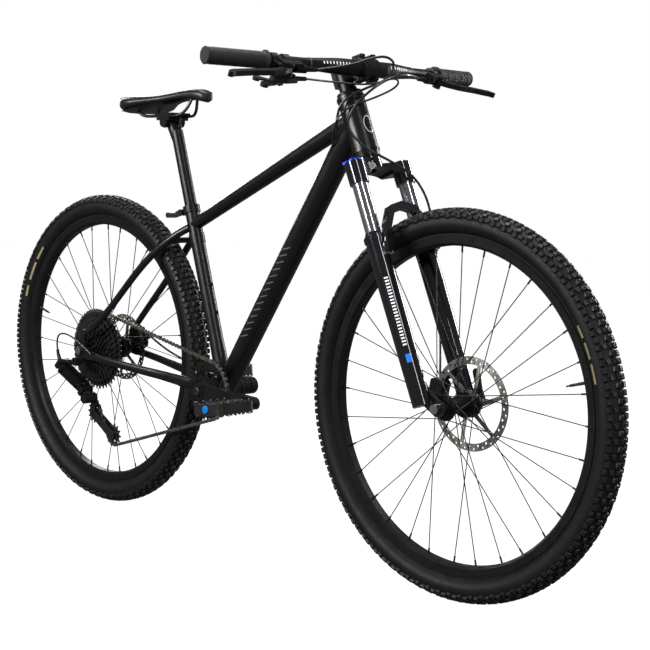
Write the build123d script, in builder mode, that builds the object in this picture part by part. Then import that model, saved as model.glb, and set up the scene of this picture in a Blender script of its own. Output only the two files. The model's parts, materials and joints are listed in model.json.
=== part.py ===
"""Hardtail mountain bike, in millimetres.

+X is forward, +Y is the rider's left and +Z is up. The origin is on the ground, in the bike's centre
plane, midway between the two axles. The drive side is the rider's right, -Y.
"""

from build123d import *
import os
from math import asin, atan2, cos, degrees, hypot, pi, radians, sin

os.makedirs("parts", exist_ok=True)

# ---- Driving dimensions: the whole bike ----
WHEELBASE = 1103.0
TYRE_R = 369.0
HEAD_ANGLE = 67.0
SEAT_ANGLE = 72.5
FORK_OFFSET = 46.0
CHAINSTAY_X = 441.0
BRACKET_DROP = 45.0
RUNNING = 0.06
GAP = 0.3

REAR = Vector(-WHEELBASE / 2, 0, TYRE_R)
FRONT = Vector(WHEELBASE / 2, 0, TYRE_R)
BRACKET = Vector(REAR.X + CHAINSTAY_X, 0, TYRE_R - BRACKET_DROP)
LATERAL = Vector(0, 1, 0)

# Steering axis: up the head tube, with its own forward direction square to it
FORK_UP = Vector(-cos(radians(HEAD_ANGLE)), 0, sin(radians(HEAD_ANGLE)))
FORK_AHEAD = Vector(sin(radians(HEAD_ANGLE)), 0, cos(radians(HEAD_ANGLE)))
FORK_FOOT = FRONT - FORK_AHEAD * FORK_OFFSET

# Seat tube axis: up from the bottom bracket
SEAT_UP = Vector(-cos(radians(SEAT_ANGLE)), 0, sin(radians(SEAT_ANGLE)))
SEAT_AHEAD = Vector(sin(radians(SEAT_ANGLE)), 0, cos(radians(SEAT_ANGLE)))

# ---- Frame ----
HEAD_LOW, HEAD_HIGH = 527.0, 645.0
HEAD_TUBE_R = 27.0
HEAD_BORE_R = 22.0
TOP_TUBE_HEAD = 602.0
TOP_TUBE_SEAT = 370.0
DOWN_TUBE_HEAD = 594.0
DOWN_TUBE_LOW_R, DOWN_TUBE_HIGH_R = 23.5, 25.0
SEAT_TUBE_TOP = 412.0
SEAT_TUBE_R = 15.9
SEATPOST_R = 13.6
SHELL_R = 21.0
SHELL_HALF = 36.5
STAY_REAR_Y = 71.5
BOSS_HEIGHTS = (166.0, 230.0)
BOSS_R = 2.5

# ---- Fork ----
LEG_Y = 65.0
LEG_AHEAD = 20.5
STANCHION_R = 15.0
STANCHION_LOW, STANCHION_HIGH = 190.0, 495.0
CROWN_LOW, CROWN_HIGH = 453.0, 497.0
CROWN_TOP = 514.0
LOWER_R = 20.0
LOWER_TOP = 348.0
FORK_TRAVEL = 100.0
STEERER_R = 14.25
STEERER_TOP = 707.0

# ---- Cockpit ----
STEM_LOW, STEM_HIGH = 672.0, 708.0
STEM_LENGTH = 60.0
STEM_RISE = 12.0
BAR_R, BAR_END_R = 15.9, 11.1
BAR_STRAIGHT = 45.0
BAR_SWEEP = 9.1
BAR_UPSWEEP = 0.6
BAR_ARM = 320.0
GRIP_START, GRIP_R = 192.0, 16.0
LEVER_DROP = 26.0

# ---- Wheels ----
SPOKE_COUNT = 32
RIM_BED_R = 298.0
RIM_EDGE_R = 317.0
BEAD_SEAT_R = 311.0
TYRE_CENTRE_R, TYRE_SECTION_R = 341.0, 26.5
TYRE_WALL = 3.0
VALVE_R, VALVE_REACH = 3.0, 262.0
VALVE_TIP_R, VALVE_TIP = 2.7, 18.0
AXLE_R = 4.5
FRONT_HALF, REAR_HALF = 50.0, 67.5
ROTOR_THICKNESS = 1.8
FRONT_ROTOR_R, REAR_ROTOR_R = 90.0, 80.0
FRONT_ROTOR_Y, REAR_ROTOR_Y = 38.6, 52.0

# ---- Drivetrain ----
PITCH = 12.7
ROLLER_R = 3.85
RING_TEETH = 32
SPROCKETS = (46, 40, 34, 28, 24, 21, 18, 15, 13, 11)
SPROCKET_STEP = 3.95
JOCKEY_TEETH = 12
COG_Y, RING_Y = -26.0, -50.0
CAGE_LENGTH = 90.0
CHAIN_LINKS = 116
CROSS_AFTER = 36.0
CRANK_LENGTH = 170.0
CRANK_DIP = 2.0
PEDAL_IN, PEDAL_OUT = 100.0, 200.0
GUIDE = Vector(REAR.X - 12.0, COG_Y, 215.0)


# ---- Places ----
def fork(up, ahead=0.0, y=0.0):
    """A point in the fork's own frame, measured up the steering axis and ahead of it."""
    return FORK_FOOT + FORK_UP * up + FORK_AHEAD * ahead + LATERAL * y


def seat(up, ahead=0.0, y=0.0):
    """A point in the seat tube's own frame."""
    return BRACKET + SEAT_UP * up + SEAT_AHEAD * ahead + LATERAL * y


def across(point):
    """A drawing plane seen from the drive side, with its normal towards -Y."""
    return Plane(origin=point, x_dir=(1, 0, 0), z_dir=(0, -1, 0))


def square_to(point, direction, x_dir=None):
    """A drawing plane at a point, square to a direction."""
    return Plane(origin=point, x_dir=x_dir, z_dir=direction)


def stem_clamp():
    """The middle of the handlebar clamp."""
    middle = fork((STEM_LOW + STEM_HIGH) / 2)
    rise = radians(STEM_RISE)
    return middle + Vector(cos(rise), 0, sin(rise)) * STEM_LENGTH


def bar_direction(side):
    """The direction of one swept half of the handlebar, outwards."""
    sweep = radians(BAR_SWEEP)
    up = radians(BAR_UPSWEEP)
    return Vector(-sin(sweep) * cos(up), side * cos(sweep) * cos(up), sin(up))


def bar(distance, side):
    """A point on the handlebar's axis, measured outwards from its bend."""
    return stem_clamp() + LATERAL * side * BAR_STRAIGHT + bar_direction(side) * distance


# ---- Shapes used many times ----
def drum(plane, radius, length, mode=Mode.ADD):
    """A round bar standing on a plane."""
    with BuildSketch(plane) as section:
        Circle(radius)
    extrude(section.sketch, amount=length, mode=mode)


def rod(start, end, radius, end_radius=None, mode=Mode.ADD):
    """A round bar between two points, tapered when it has an end radius."""
    reach = end - start
    base = square_to(start, reach)
    if end_radius is None:
        drum(base, radius, reach.length, mode)
        return
    with BuildSketch(base) as first:
        Circle(radius)
    with BuildSketch(base.offset(reach.length)) as last:
        Circle(end_radius)
    loft([first.sketch, last.sketch], ruled=True, mode=mode)


def pin_y(point, y_from, y_to, radius, mode=Mode.ADD):
    """A round bar along Y, at the point's X and Z."""
    rod(Vector(point.X, y_from, point.Z), Vector(point.X, y_to, point.Z), radius, mode=mode)


def web(plane, spots, thickness, mode=Mode.ADD):
    """A plate around a chain of (x, y, radius) rounds on a plane."""
    for first, last in zip(spots, spots[1:]):
        with BuildSketch(plane) as section:
            for x, y, radius in (first, last):
                with Locations((x, y)):
                    Circle(radius)
            make_hull()
        extrude(section.sketch, amount=thickness, mode=mode)


def spin(axle, outline):
    """Turns a closed (radius, y) outline about a wheel axle."""
    plane = Plane(origin=axle, x_dir=(0, 0, 1), z_dir=(-1, 0, 0))
    with BuildSketch(plane) as section:
        with BuildLine():
            Polyline(*outline, close=True)
        make_face()
    revolve(section.sketch, axis=Axis(axle, (0, 1, 0)))


def ring_about(axle, outer, inner, y_from, y_to, mode=Mode.ADD):
    """A flat ring on a wheel axle."""
    with BuildSketch(across(Vector(axle.X, y_to, axle.Z))) as section:
        Circle(outer)
        if inner:
            Circle(inner, mode=Mode.SUBTRACT)
    extrude(section.sketch, amount=y_to - y_from, mode=mode)


def bolt(point, direction, radius=4.0, length=5.0, socket=2.0):
    """A socket bolt's head."""
    drum(square_to(point, direction), radius, length)
    drum(square_to(point + direction.normalized() * (length - 2.5), direction), socket, 3.0, Mode.SUBTRACT)


def hose(points, radius):
    """A round hose through hand-placed points."""
    with BuildLine() as route:
        Spline(*points)
    with BuildSketch(square_to(route.line @ 0, route.line % 0)) as section:
        Circle(radius)
    sweep(section.sketch, path=route.line)


def finish(part, label):
    """Names a finished sub-part and writes its file."""
    part.label = label
    export_step(part, f"parts/{label}.step")


# ---- Chain path: a loop of tangents and arcs round four toothed wheels ----
def wheel_r(teeth):
    """The radius at which a chain wraps a wheel."""
    return teeth * PITCH / (2 * pi)


def chain_path(cage_angle):
    """The loop as straight and curved pieces, for one angle of the cage."""
    tension = GUIDE + Vector(cos(cage_angle), 0, -sin(cage_angle)) * CAGE_LENGTH
    wheels = [
        (Vector(REAR.X, COG_Y, REAR.Z), wheel_r(SPROCKETS[0]), 1),
        (Vector(BRACKET.X, RING_Y, BRACKET.Z), wheel_r(RING_TEETH), 1),
        (tension, wheel_r(JOCKEY_TEETH), 1),
        (GUIDE, wheel_r(JOCKEY_TEETH), -1),
    ]
    headings = []
    for (here, r_here, turn_here), (there, r_there, turn_there) in zip(wheels, wheels[1:] + wheels[:1]):
        span = there - here
        lean = asin((turn_here * r_here - turn_there * r_there) / hypot(span.X, span.Z))
        headings.append(atan2(span.Z, span.X) - lean)
    pieces = []
    for k, (centre, radius, turn) in enumerate(wheels):
        heading_in = headings[k - 1]
        sweep_angle = ((heading_in - headings[k]) * turn) % (2 * pi)
        pieces.append(("arc", centre, radius, turn, heading_in, sweep_angle * radius))
        leave = touch_point(centre, radius, turn, headings[k])
        following = wheels[(k + 1) % len(wheels)]
        arrive = touch_point(following[0], following[1], following[2], headings[k])
        pieces.append(("line", leave, arrive, None, None, (arrive - leave).length))
    return pieces


def touch_point(centre, radius, turn, heading):
    """Where a chain with this heading touches a wheel."""
    return centre + Vector(-sin(heading), 0, cos(heading)) * (radius * turn)


def path_length(cage_angle):
    """The whole loop's length."""
    return sum(piece[5] for piece in chain_path(cage_angle))


def settle_cage():
    """The cage angle at which the loop holds a whole number of links."""
    low, high = radians(20), radians(75)
    for _ in range(60):
        middle = (low + high) / 2
        if path_length(middle) < CHAIN_LINKS * PITCH:
            low = middle
        else:
            high = middle
    return low


def path_point(pieces, distance):
    """The point at a distance along the loop."""
    for kind, start, other, turn, heading, length in pieces:
        if distance <= length:
            if kind == "line":
                along = start + (other - start) * (distance / length)
                crossed = (distance - CROSS_AFTER) / (length - 2 * CROSS_AFTER)
                crossed = min(max(crossed, 0.0), 1.0)
                return Vector(along.X, start.Y + (other.Y - start.Y) * crossed, along.Z)
            return touch_point(start, other, turn, heading - turn * distance / other)
        distance -= length
    return path_point(pieces, distance)


def tooth_phase(pieces, index):
    """The angle of a tooth gap on the wheel that the loop's nth arc wraps."""
    before = sum(piece[5] for piece in pieces[:index])
    kind, centre, radius, turn, heading, length = pieces[index]
    ahead = (PITCH - before % PITCH) % PITCH
    spot = touch_point(centre, radius, turn, heading - turn * ahead / radius) - centre
    return degrees(atan2(spot.Z, spot.X))


CAGE_ANGLE = settle_cage()
TENSION = GUIDE + Vector(cos(CAGE_ANGLE), 0, -sin(CAGE_ANGLE)) * CAGE_LENGTH
CHAIN_LOOP = chain_path(CAGE_ANGLE)


# ---- Frame tubes ----
with BuildPart() as head_tube:
    rod(fork(HEAD_LOW), fork(HEAD_HIGH), HEAD_TUBE_R)
    drum(square_to(fork(HEAD_LOW), FORK_UP), HEAD_TUBE_R + 1.2, 5.0)
    drum(square_to(fork(HEAD_HIGH - 5.0), FORK_UP), HEAD_TUBE_R + 1.2, 5.0)
    rod(fork(HEAD_LOW - 1), fork(HEAD_HIGH + 1), HEAD_BORE_R, mode=Mode.SUBTRACT)
finish(head_tube.part, "head_tube")

with BuildPart() as top_tube:
    tube_start, tube_end = seat(TOP_TUBE_SEAT), fork(TOP_TUBE_HEAD)
    run = tube_end - tube_start
    base = square_to(tube_start, run, LATERAL)
    with BuildSketch(base) as seat_section:
        Ellipse(15.0, 13.0)
    with BuildSketch(base.offset(run.length)) as head_section:
        Ellipse(18.0, 18.6)
    loft([seat_section.sketch, head_section.sketch], ruled=True)
    with BuildSketch(base) as seat_bore:
        Ellipse(13.2, 11.2)
    with BuildSketch(base.offset(run.length)) as head_bore:
        Ellipse(16.2, 16.8)
    loft([seat_bore.sketch, head_bore.sketch], ruled=True, mode=Mode.SUBTRACT)
    rod(seat(TOP_TUBE_SEAT - 60), seat(TOP_TUBE_SEAT + 60), SEAT_TUBE_R, mode=Mode.SUBTRACT)
    rod(fork(HEAD_LOW - 20), fork(HEAD_HIGH + 20), HEAD_TUBE_R, mode=Mode.SUBTRACT)
    rod(BRACKET, fork(DOWN_TUBE_HEAD), DOWN_TUBE_LOW_R, DOWN_TUBE_HIGH_R, mode=Mode.SUBTRACT)
finish(top_tube.part, "top_tube")

with BuildPart() as down_tube:
    rod(BRACKET, fork(DOWN_TUBE_HEAD), DOWN_TUBE_LOW_R, DOWN_TUBE_HIGH_R)
    rod(BRACKET, fork(DOWN_TUBE_HEAD), DOWN_TUBE_LOW_R - 2.0, DOWN_TUBE_HIGH_R - 2.0, mode=Mode.SUBTRACT)
    rod(fork(HEAD_LOW - 60), fork(HEAD_HIGH + 60), HEAD_TUBE_R, mode=Mode.SUBTRACT)
    pin_y(BRACKET, -60, 60, SHELL_R, mode=Mode.SUBTRACT)
    rod(BRACKET, seat(120), SEAT_TUBE_R + 3.0, SEAT_TUBE_R, mode=Mode.SUBTRACT)
finish(down_tube.part, "down_tube")

with BuildPart() as seat_tube:
    rod(BRACKET, seat(120), SEAT_TUBE_R + 3.0, SEAT_TUBE_R)
    rod(seat(119), seat(SEAT_TUBE_TOP), SEAT_TUBE_R)
    drum(square_to(seat(TOP_TUBE_SEAT - 42), SEAT_UP), SEAT_TUBE_R + 1.6, 22.0)
    for height in BOSS_HEIGHTS:
        rod(seat(height, SEAT_TUBE_R - 1.5), seat(height, SEAT_TUBE_R + 1.6), 5.5)
    rod(seat(14), seat(SEAT_TUBE_TOP + 1), SEATPOST_R + RUNNING, mode=Mode.SUBTRACT)
    pin_y(BRACKET, -60, 60, SHELL_R, mode=Mode.SUBTRACT)
    for height in BOSS_HEIGHTS:
        rod(seat(height, 10), seat(height, SEAT_TUBE_R + 2), BOSS_R, mode=Mode.SUBTRACT)
    slot = square_to(seat(SEAT_TUBE_TOP - 30, -SEAT_TUBE_R), SEAT_UP, LATERAL)
    with BuildSketch(slot) as cut:
        Rectangle(3.0, 12.0)
    extrude(cut.sketch, amount=40, mode=Mode.SUBTRACT)
finish(seat_tube.part, "seat_tube")

with BuildPart() as bottom_bracket_shell:
    ring_about(BRACKET, SHELL_R, 17.6, -SHELL_HALF, SHELL_HALF)
    for side in (-1, 1):
        ring_about(BRACKET, SHELL_R + 1.2, 17.6, side * 33.5 - 3.0, side * 33.5 + 3.0)
finish(bottom_bracket_shell.part, "bottom_bracket_shell")

# ---- Rear triangle ----
HANGER = Vector(REAR.X - 10.0, -STAY_REAR_Y, REAR.Z - 27.0)
STAY_INNER, STAY_OUTER = REAR_HALF + 0.2, REAR_HALF + 7.6


def stay_points(side):
    """A chainstay's hand-placed points, from the bracket shell back to its dropout."""
    return [
        Vector(BRACKET.X - 16.0, side * 29.0, BRACKET.Z + 2.0),
        Vector(BRACKET.X - 60.0, side * 37.5, BRACKET.Z + 6.0),
        Vector(REAR.X + 300.0, side * 41.0, BRACKET.Z + 11.0),
        Vector(REAR.X + 180.0, side * 57.0, BRACKET.Z + 21.0),
        Vector(REAR.X + 40.0, side * 70.6, BRACKET.Z + 35.0),
    ]


def seatstay_points(side):
    """A seatstay's hand-placed points, from the seat tube down to its dropout."""
    return [
        seat(TOP_TUBE_SEAT - 4, -6.0, side * 12.0),
        Vector(REAR.X + 250.0, side * 42.0, 619.0),
        Vector(REAR.X + 130.0, side * 55.0, 511.0),
        Vector(REAR.X + 8.0, side * 70.6, 408.0),
    ]


def stay(points, first, last):
    """A tapering tube along a stay's points; each end is (half width, half height)."""
    with BuildLine() as route:
        Spline(*points)
    for here, there in ((0.0, 0.5), (0.5, 1.0)):
        sections = []
        for k in range(4):
            at = here + (there - here) * k / 3
            size = [a + (b - a) * at for a, b in zip(first, last)]
            plane = Plane(origin=route.line @ at, x_dir=LATERAL, z_dir=route.line % at)
            with BuildSketch(plane) as section:
                Ellipse(*size)
            sections.append(section.sketch)
        loft(sections)


with BuildPart() as chainstays:
    for side in (-1, 1):
        stay(stay_points(side), (6.3, 12.5), (5.0, 8.5))
        inner_y = side * STAY_INNER
        plate = Plane(origin=(REAR.X, inner_y, REAR.Z), x_dir=(1, 0, 0), z_dir=(0, side, 0))
        tall = -side
        web(plate, [(0, 0, 15.0), (24, tall * -8.0, 11.0), (46, tall * -10.0, 8.6)], 7.4)
        web(plate, [(0, 0, 15.0), (4, tall * 26.0, 8.5), (8, tall * 42.0, 8.2)], 7.4)
        if side < 0:
            web(plate, [(0, 0, 14.0), (-10, -27.0, 9.0)], 7.4)
            pin_y(HANGER, -90, -60, 5.0, mode=Mode.SUBTRACT)
        pin_y(REAR, side * 60, side * 90, AXLE_R + 0.1, mode=Mode.SUBTRACT)
    pin_y(BRACKET, -60, 60, SHELL_R + 0.02, mode=Mode.SUBTRACT)
    pin_y(BRACKET, -37, -30, SHELL_R + 1.22, mode=Mode.SUBTRACT)
    pin_y(BRACKET, 30, 37, SHELL_R + 1.22, mode=Mode.SUBTRACT)
finish(chainstays.part, "chainstays")

with BuildPart() as seatstays:
    for side in (-1, 1):
        stay(seatstay_points(side), (7.5, 9.0), (6.0, 8.0))
    bridge_spot = Vector(REAR.X + 278.0, 0, 641.0)
    pin_y(bridge_spot, -39, 39, 6.5)
    pin_y(bridge_spot, -39, 39, 4.5, mode=Mode.SUBTRACT)
    rod(seat(TOP_TUBE_SEAT - 60), seat(TOP_TUBE_SEAT + 60), SEAT_TUBE_R + 0.02, mode=Mode.SUBTRACT)
    rod(seat(TOP_TUBE_SEAT - 43), seat(TOP_TUBE_SEAT - 19), SEAT_TUBE_R + 1.62, mode=Mode.SUBTRACT)
    for side in (-1, 1):
        with Locations(Vector(REAR.X + 8, side * (STAY_INNER + 3.7), 408 - 30)):
            Box(60, 20, 62, mode=Mode.SUBTRACT)
finish(seatstays.part, "seatstays")

# ---- Bearings and seat collar ----
with BuildPart() as headset_cups:
    for edge, way, stand in ((HEAD_LOW, 1, 12.0), (HEAD_HIGH, -1, 8.0)):
        rod(fork(edge - way * stand), fork(edge), 25.5, 26.5)
        rod(fork(edge), fork(edge + way * 12.0), HEAD_BORE_R - 0.03)
    rod(fork(HEAD_LOW - 20), fork(HEAD_HIGH + 20), STEERER_R + 3.0, mode=Mode.SUBTRACT)
    for edge, way in ((HEAD_LOW, 1), (HEAD_HIGH, -1)):
        with BuildSketch(square_to(fork(edge + way * 2.0), FORK_UP * way)) as race:
            Circle(STEERER_R + 3.5)
            Circle(STEERER_R + RUNNING, mode=Mode.SUBTRACT)
        extrude(race.sketch, amount=8.0)
finish(headset_cups.part, "headset_cups")

SPINDLE_R = 12.0
with BuildPart() as bottom_bracket_cups:
    for side in (-1, 1):
        outer, inner = side * (SHELL_HALF + 9.0), side * (SHELL_HALF - 12.0)
        low, high = min(outer, inner), max(outer, inner)
        ring_about(BRACKET, 17.5, SPINDLE_R + 1.5, low, high)
        low, high = sorted((side * SHELL_HALF, outer))
        ring_about(BRACKET, 21.5, 17.0, low, high)
        low, high = sorted((side * (SHELL_HALF + 1.5), side * (SHELL_HALF + 8.5)))
        ring_about(BRACKET, 17.2, SPINDLE_R + RUNNING, low, high)
        with BuildSketch(across(Vector(BRACKET.X, high - 1.5, BRACKET.Z))) as notches:
            with PolarLocations(21.5, 16):
                Circle(1.4)
        extrude(notches.sketch, amount=4.0, mode=Mode.SUBTRACT)
finish(bottom_bracket_cups.part, "bottom_bracket_cups")

COLLAR_LOW, COLLAR_HIGH = SEAT_TUBE_TOP - 14.0, SEAT_TUBE_TOP + 2.0
COLLAR_MID = (COLLAR_LOW + COLLAR_HIGH) / 2
COLLAR_EAR = -24.0
with BuildPart() as seat_collar:
    rod(seat(COLLAR_LOW), seat(COLLAR_HIGH), SEAT_TUBE_R + 3.0)
    with Locations(Plane(origin=seat(COLLAR_MID, COLLAR_EAR + 4.0), x_dir=SEAT_AHEAD, z_dir=SEAT_UP)):
        Box(14.0, 13.0, 14.0)
    rod(seat(COLLAR_LOW - 1), seat(SEAT_TUBE_TOP), SEAT_TUBE_R + 0.02, mode=Mode.SUBTRACT)
    rod(seat(COLLAR_LOW), seat(COLLAR_HIGH + 1), SEATPOST_R + GAP, mode=Mode.SUBTRACT)
    with Locations(Plane(origin=seat(COLLAR_MID, COLLAR_EAR + 2.0), x_dir=SEAT_AHEAD, z_dir=SEAT_UP)):
        Box(20.0, 2.0, 30.0, mode=Mode.SUBTRACT)
    rod(seat(COLLAR_MID, COLLAR_EAR, -16), seat(COLLAR_MID, COLLAR_EAR, 14), 2.5)
    rod(seat(COLLAR_MID, COLLAR_EAR, 6.5), seat(COLLAR_MID, COLLAR_EAR, 12), 5.0)
    rod(seat(COLLAR_MID, COLLAR_EAR, -9.0), seat(COLLAR_MID, COLLAR_EAR, -6.5), 6.0)
finish(seat_collar.part, "seat_collar")

with BuildPart() as seat_qr_lever:
    hub_spot = seat(COLLAR_MID, COLLAR_EAR, -9.4)
    lever_plane = Plane(origin=hub_spot, x_dir=Vector(-1, 0, -0.12), z_dir=(0, -1, 0))
    web(lever_plane, [(0, 0, 7.0), (22, 5.0, 5.0), (46, 2.0, 6.0)], 6.0)
    drum(lever_plane.offset(-1.0), 2.5 + RUNNING, 9.0, Mode.SUBTRACT)
finish(seat_qr_lever.part, "seat_qr_lever")


# ---- Axles and their quick-release levers ----
def axle(centre, nut_y, cam_y):
    """An axle through both dropouts, with a nut on the drive side and a cam head on the left."""
    pin_y(centre, nut_y, cam_y, AXLE_R)
    pin_y(centre, nut_y - 9.0, nut_y, 9.0)
    pin_y(centre, cam_y, cam_y + 13.0, 8.5)
    pin_y(centre, cam_y + 3.0, cam_y + 10.0, 3.0)


def axle_lever(centre, cam_y, heading):
    """A curved quick-release lever on the outer end of a cam head."""
    direction = Vector(cos(radians(heading)), 0, sin(radians(heading)))
    plane = Plane(origin=Vector(centre.X, cam_y + 13.4, centre.Z), x_dir=direction, z_dir=(0, 1, 0))
    web(plane, [(0, 0, 8.0), (26, 0, 6.0), (58, 3.0, 7.5)], 5.0)


FRONT_DROP_IN, FRONT_DROP_OUT = FRONT_HALF + 0.2, FRONT_HALF + 8.2
REAR_NUT_Y, REAR_CAM_Y = -STAY_OUTER - 0.05, STAY_OUTER + 0.05
FRONT_NUT_Y, FRONT_CAM_Y = -FRONT_DROP_OUT - 0.05, FRONT_DROP_OUT + 0.05

with BuildPart() as rear_axle:
    axle(REAR, REAR_NUT_Y, REAR_CAM_Y)
finish(rear_axle.part, "rear_axle")

with BuildPart() as front_axle:
    axle(FRONT, FRONT_NUT_Y, FRONT_CAM_Y)
finish(front_axle.part, "front_axle")

with BuildPart() as rear_axle_lever:
    axle_lever(REAR, REAR_CAM_Y, 35.0)
finish(rear_axle_lever.part, "rear_axle_lever")

with BuildPart() as front_axle_lever:
    axle_lever(FRONT, FRONT_CAM_Y, 110.0)
finish(front_axle_lever.part, "front_axle_lever")

# ---- Fork: crown and steerer, stanchions, lockout knob ----
with BuildPart() as fork_crown:
    rod(fork(CROWN_TOP - 20), fork(STEERER_TOP - 3), STEERER_R)
    rod(fork(490), fork(CROWN_TOP), 25.0, 24.0)
    for side in (-1, 1):
        leg_low = fork(CROWN_LOW, LEG_AHEAD, side * LEG_Y)
        leg_high = fork(CROWN_HIGH, LEG_AHEAD, side * LEG_Y)
        rod(leg_low, leg_high, 19.0, 19.5)
        shoulder = Plane(origin=fork(475), x_dir=FORK_AHEAD, z_dir=FORK_UP)
        with BuildSketch(shoulder) as arm:
            Circle(21.0)
            with Locations((LEG_AHEAD, side * LEG_Y)):
                Circle(15.5)
            make_hull()
        extrude(arm.sketch, amount=21.0)
    archway = fork(CROWN_LOW - 6, 0)
    arch_plane = Plane(origin=archway - FORK_AHEAD * 40, x_dir=LATERAL, z_dir=FORK_AHEAD)
    with BuildSketch(arch_plane) as arch:
        Ellipse(44.5, 42.0)
    extrude(arch.sketch, amount=110.0, mode=Mode.SUBTRACT)
    for side in (-1, 1):
        bore_low = fork(CROWN_LOW - 5, LEG_AHEAD, side * LEG_Y)
        bore_high = fork(STANCHION_HIGH + 0.1, LEG_AHEAD, side * LEG_Y)
        rod(bore_low, bore_high, STANCHION_R + 0.03, mode=Mode.SUBTRACT)
    rod(fork(CROWN_TOP - 30), fork(STEERER_TOP + 5), 11.5, mode=Mode.SUBTRACT)
finish(fork_crown.part, "fork_crown")

with BuildPart() as stanchions:
    for side in (-1, 1):
        low = fork(STANCHION_LOW, LEG_AHEAD, side * LEG_Y)
        high = fork(STANCHION_HIGH, LEG_AHEAD, side * LEG_Y)
        rod(low, high, STANCHION_R)
        inner_high = fork(STANCHION_HIGH - 20, LEG_AHEAD, side * LEG_Y)
        rod(low - FORK_UP, inner_high, STANCHION_R - 2.0, mode=Mode.SUBTRACT)
    cap = fork(CROWN_HIGH + 0.05, LEG_AHEAD, LEG_Y)
    rod(cap, cap + FORK_UP * 3.5, 14.0, 12.5)
finish(stanchions.part, "stanchions")

with BuildPart() as fork_knob:
    knob = Plane(origin=fork(CROWN_HIGH + 0.4, LEG_AHEAD, -LEG_Y), x_dir=-FORK_AHEAD, z_dir=FORK_UP)
    drum(knob, 15.5, 3.0)
    drum(knob.offset(3.0), 10.0, 3.0)
    web(knob.offset(1.5), [(0, 0, 9.0), (17, 9.0, 3.5)], 4.0)
finish(fork_knob.part, "fork_knob")

# ---- Fork: lower legs, one casting with its brace ----
BRACE_AHEAD = 50.0
with BuildPart() as fork_lowers:
    for side in (-1, 1):
        leg_y = side * LEG_Y
        rod(fork(14, LEG_AHEAD, leg_y), fork(250, LEG_AHEAD, leg_y), 18.0, LOWER_R)
        rod(fork(250, LEG_AHEAD, leg_y), fork(LOWER_TOP, LEG_AHEAD, leg_y), LOWER_R)
        drum(square_to(fork(LOWER_TOP - 12, LEG_AHEAD, leg_y), FORK_UP), LOWER_R + 2.0, 9.0)
        rod(fork(LOWER_TOP, LEG_AHEAD, leg_y), fork(LOWER_TOP + 6, LEG_AHEAD, leg_y), 18.0, 16.6)
        drop_plane = Plane(origin=fork(0, 0, side * FRONT_DROP_IN), x_dir=FORK_AHEAD, z_dir=(0, side, 0))
        tall = -side
        drop_line = [(FORK_OFFSET, 0, 15.0), (LEG_AHEAD + 6, tall * 26.0, 14.0), (LEG_AHEAD, tall * 60.0, 10.0)]
        web(drop_plane, drop_line, 8.0)
    brace = [
        (LEG_Y, LOWER_TOP - 34.0),
        (56.0, LOWER_TOP + 8.0),
        (34.0, LOWER_TOP + 42.0),
        (0.0, LOWER_TOP + 50.0),
    ]
    for side in (-1, 1):
        with BuildSketch(Plane(origin=fork(0, BRACE_AHEAD - 7.5), x_dir=LATERAL, z_dir=FORK_AHEAD)) as band:
            for (y_a, up_a), (y_b, up_b) in zip(brace, brace[1:]):
                with BuildSketch(mode=Mode.PRIVATE) as stretch:
                    with Locations((side * y_a, up_a)):
                        Circle(8.0)
                    with Locations((side * y_b, up_b)):
                        Circle(8.0)
                    make_hull()
                add(stretch.sketch)
        extrude(band.sketch, amount=12.0)
        root_plane = Plane(origin=fork(LOWER_TOP - 44, 0), x_dir=FORK_AHEAD, z_dir=FORK_UP)
        with BuildSketch(root_plane) as root:
            with Locations((LEG_AHEAD, side * LEG_Y)):
                Circle(13.0)
            with Locations((BRACE_AHEAD - 1.5, side * (LEG_Y - 3))):
                Circle(6.0)
            make_hull()
        extrude(root.sketch, amount=20.0)
    for side in (-1, 1):
        leg_y = side * LEG_Y
        bore_low = fork(STANCHION_LOW - FORK_TRAVEL - 6, LEG_AHEAD, leg_y)
        rod(bore_low, fork(LOWER_TOP + 8, LEG_AHEAD, leg_y), STANCHION_R + RUNNING, mode=Mode.SUBTRACT)
        pin_y(FRONT, side * 40, side * 70, AXLE_R + 0.1, mode=Mode.SUBTRACT)
        pin_y(FRONT, side * FRONT_DROP_OUT, side * 90, 15.0, mode=Mode.SUBTRACT)
finish(fork_lowers.part, "fork_lowers")

# ---- Stem and handlebar ----
STEM_AHEAD = Vector(cos(radians(STEM_RISE)), 0, sin(radians(STEM_RISE)))
STEM_TALL = Vector(-sin(radians(STEM_RISE)), 0, cos(radians(STEM_RISE)))
CLAMP = stem_clamp()
CLAMP_R, CLAMP_HALF = 20.5, 22.0

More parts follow.
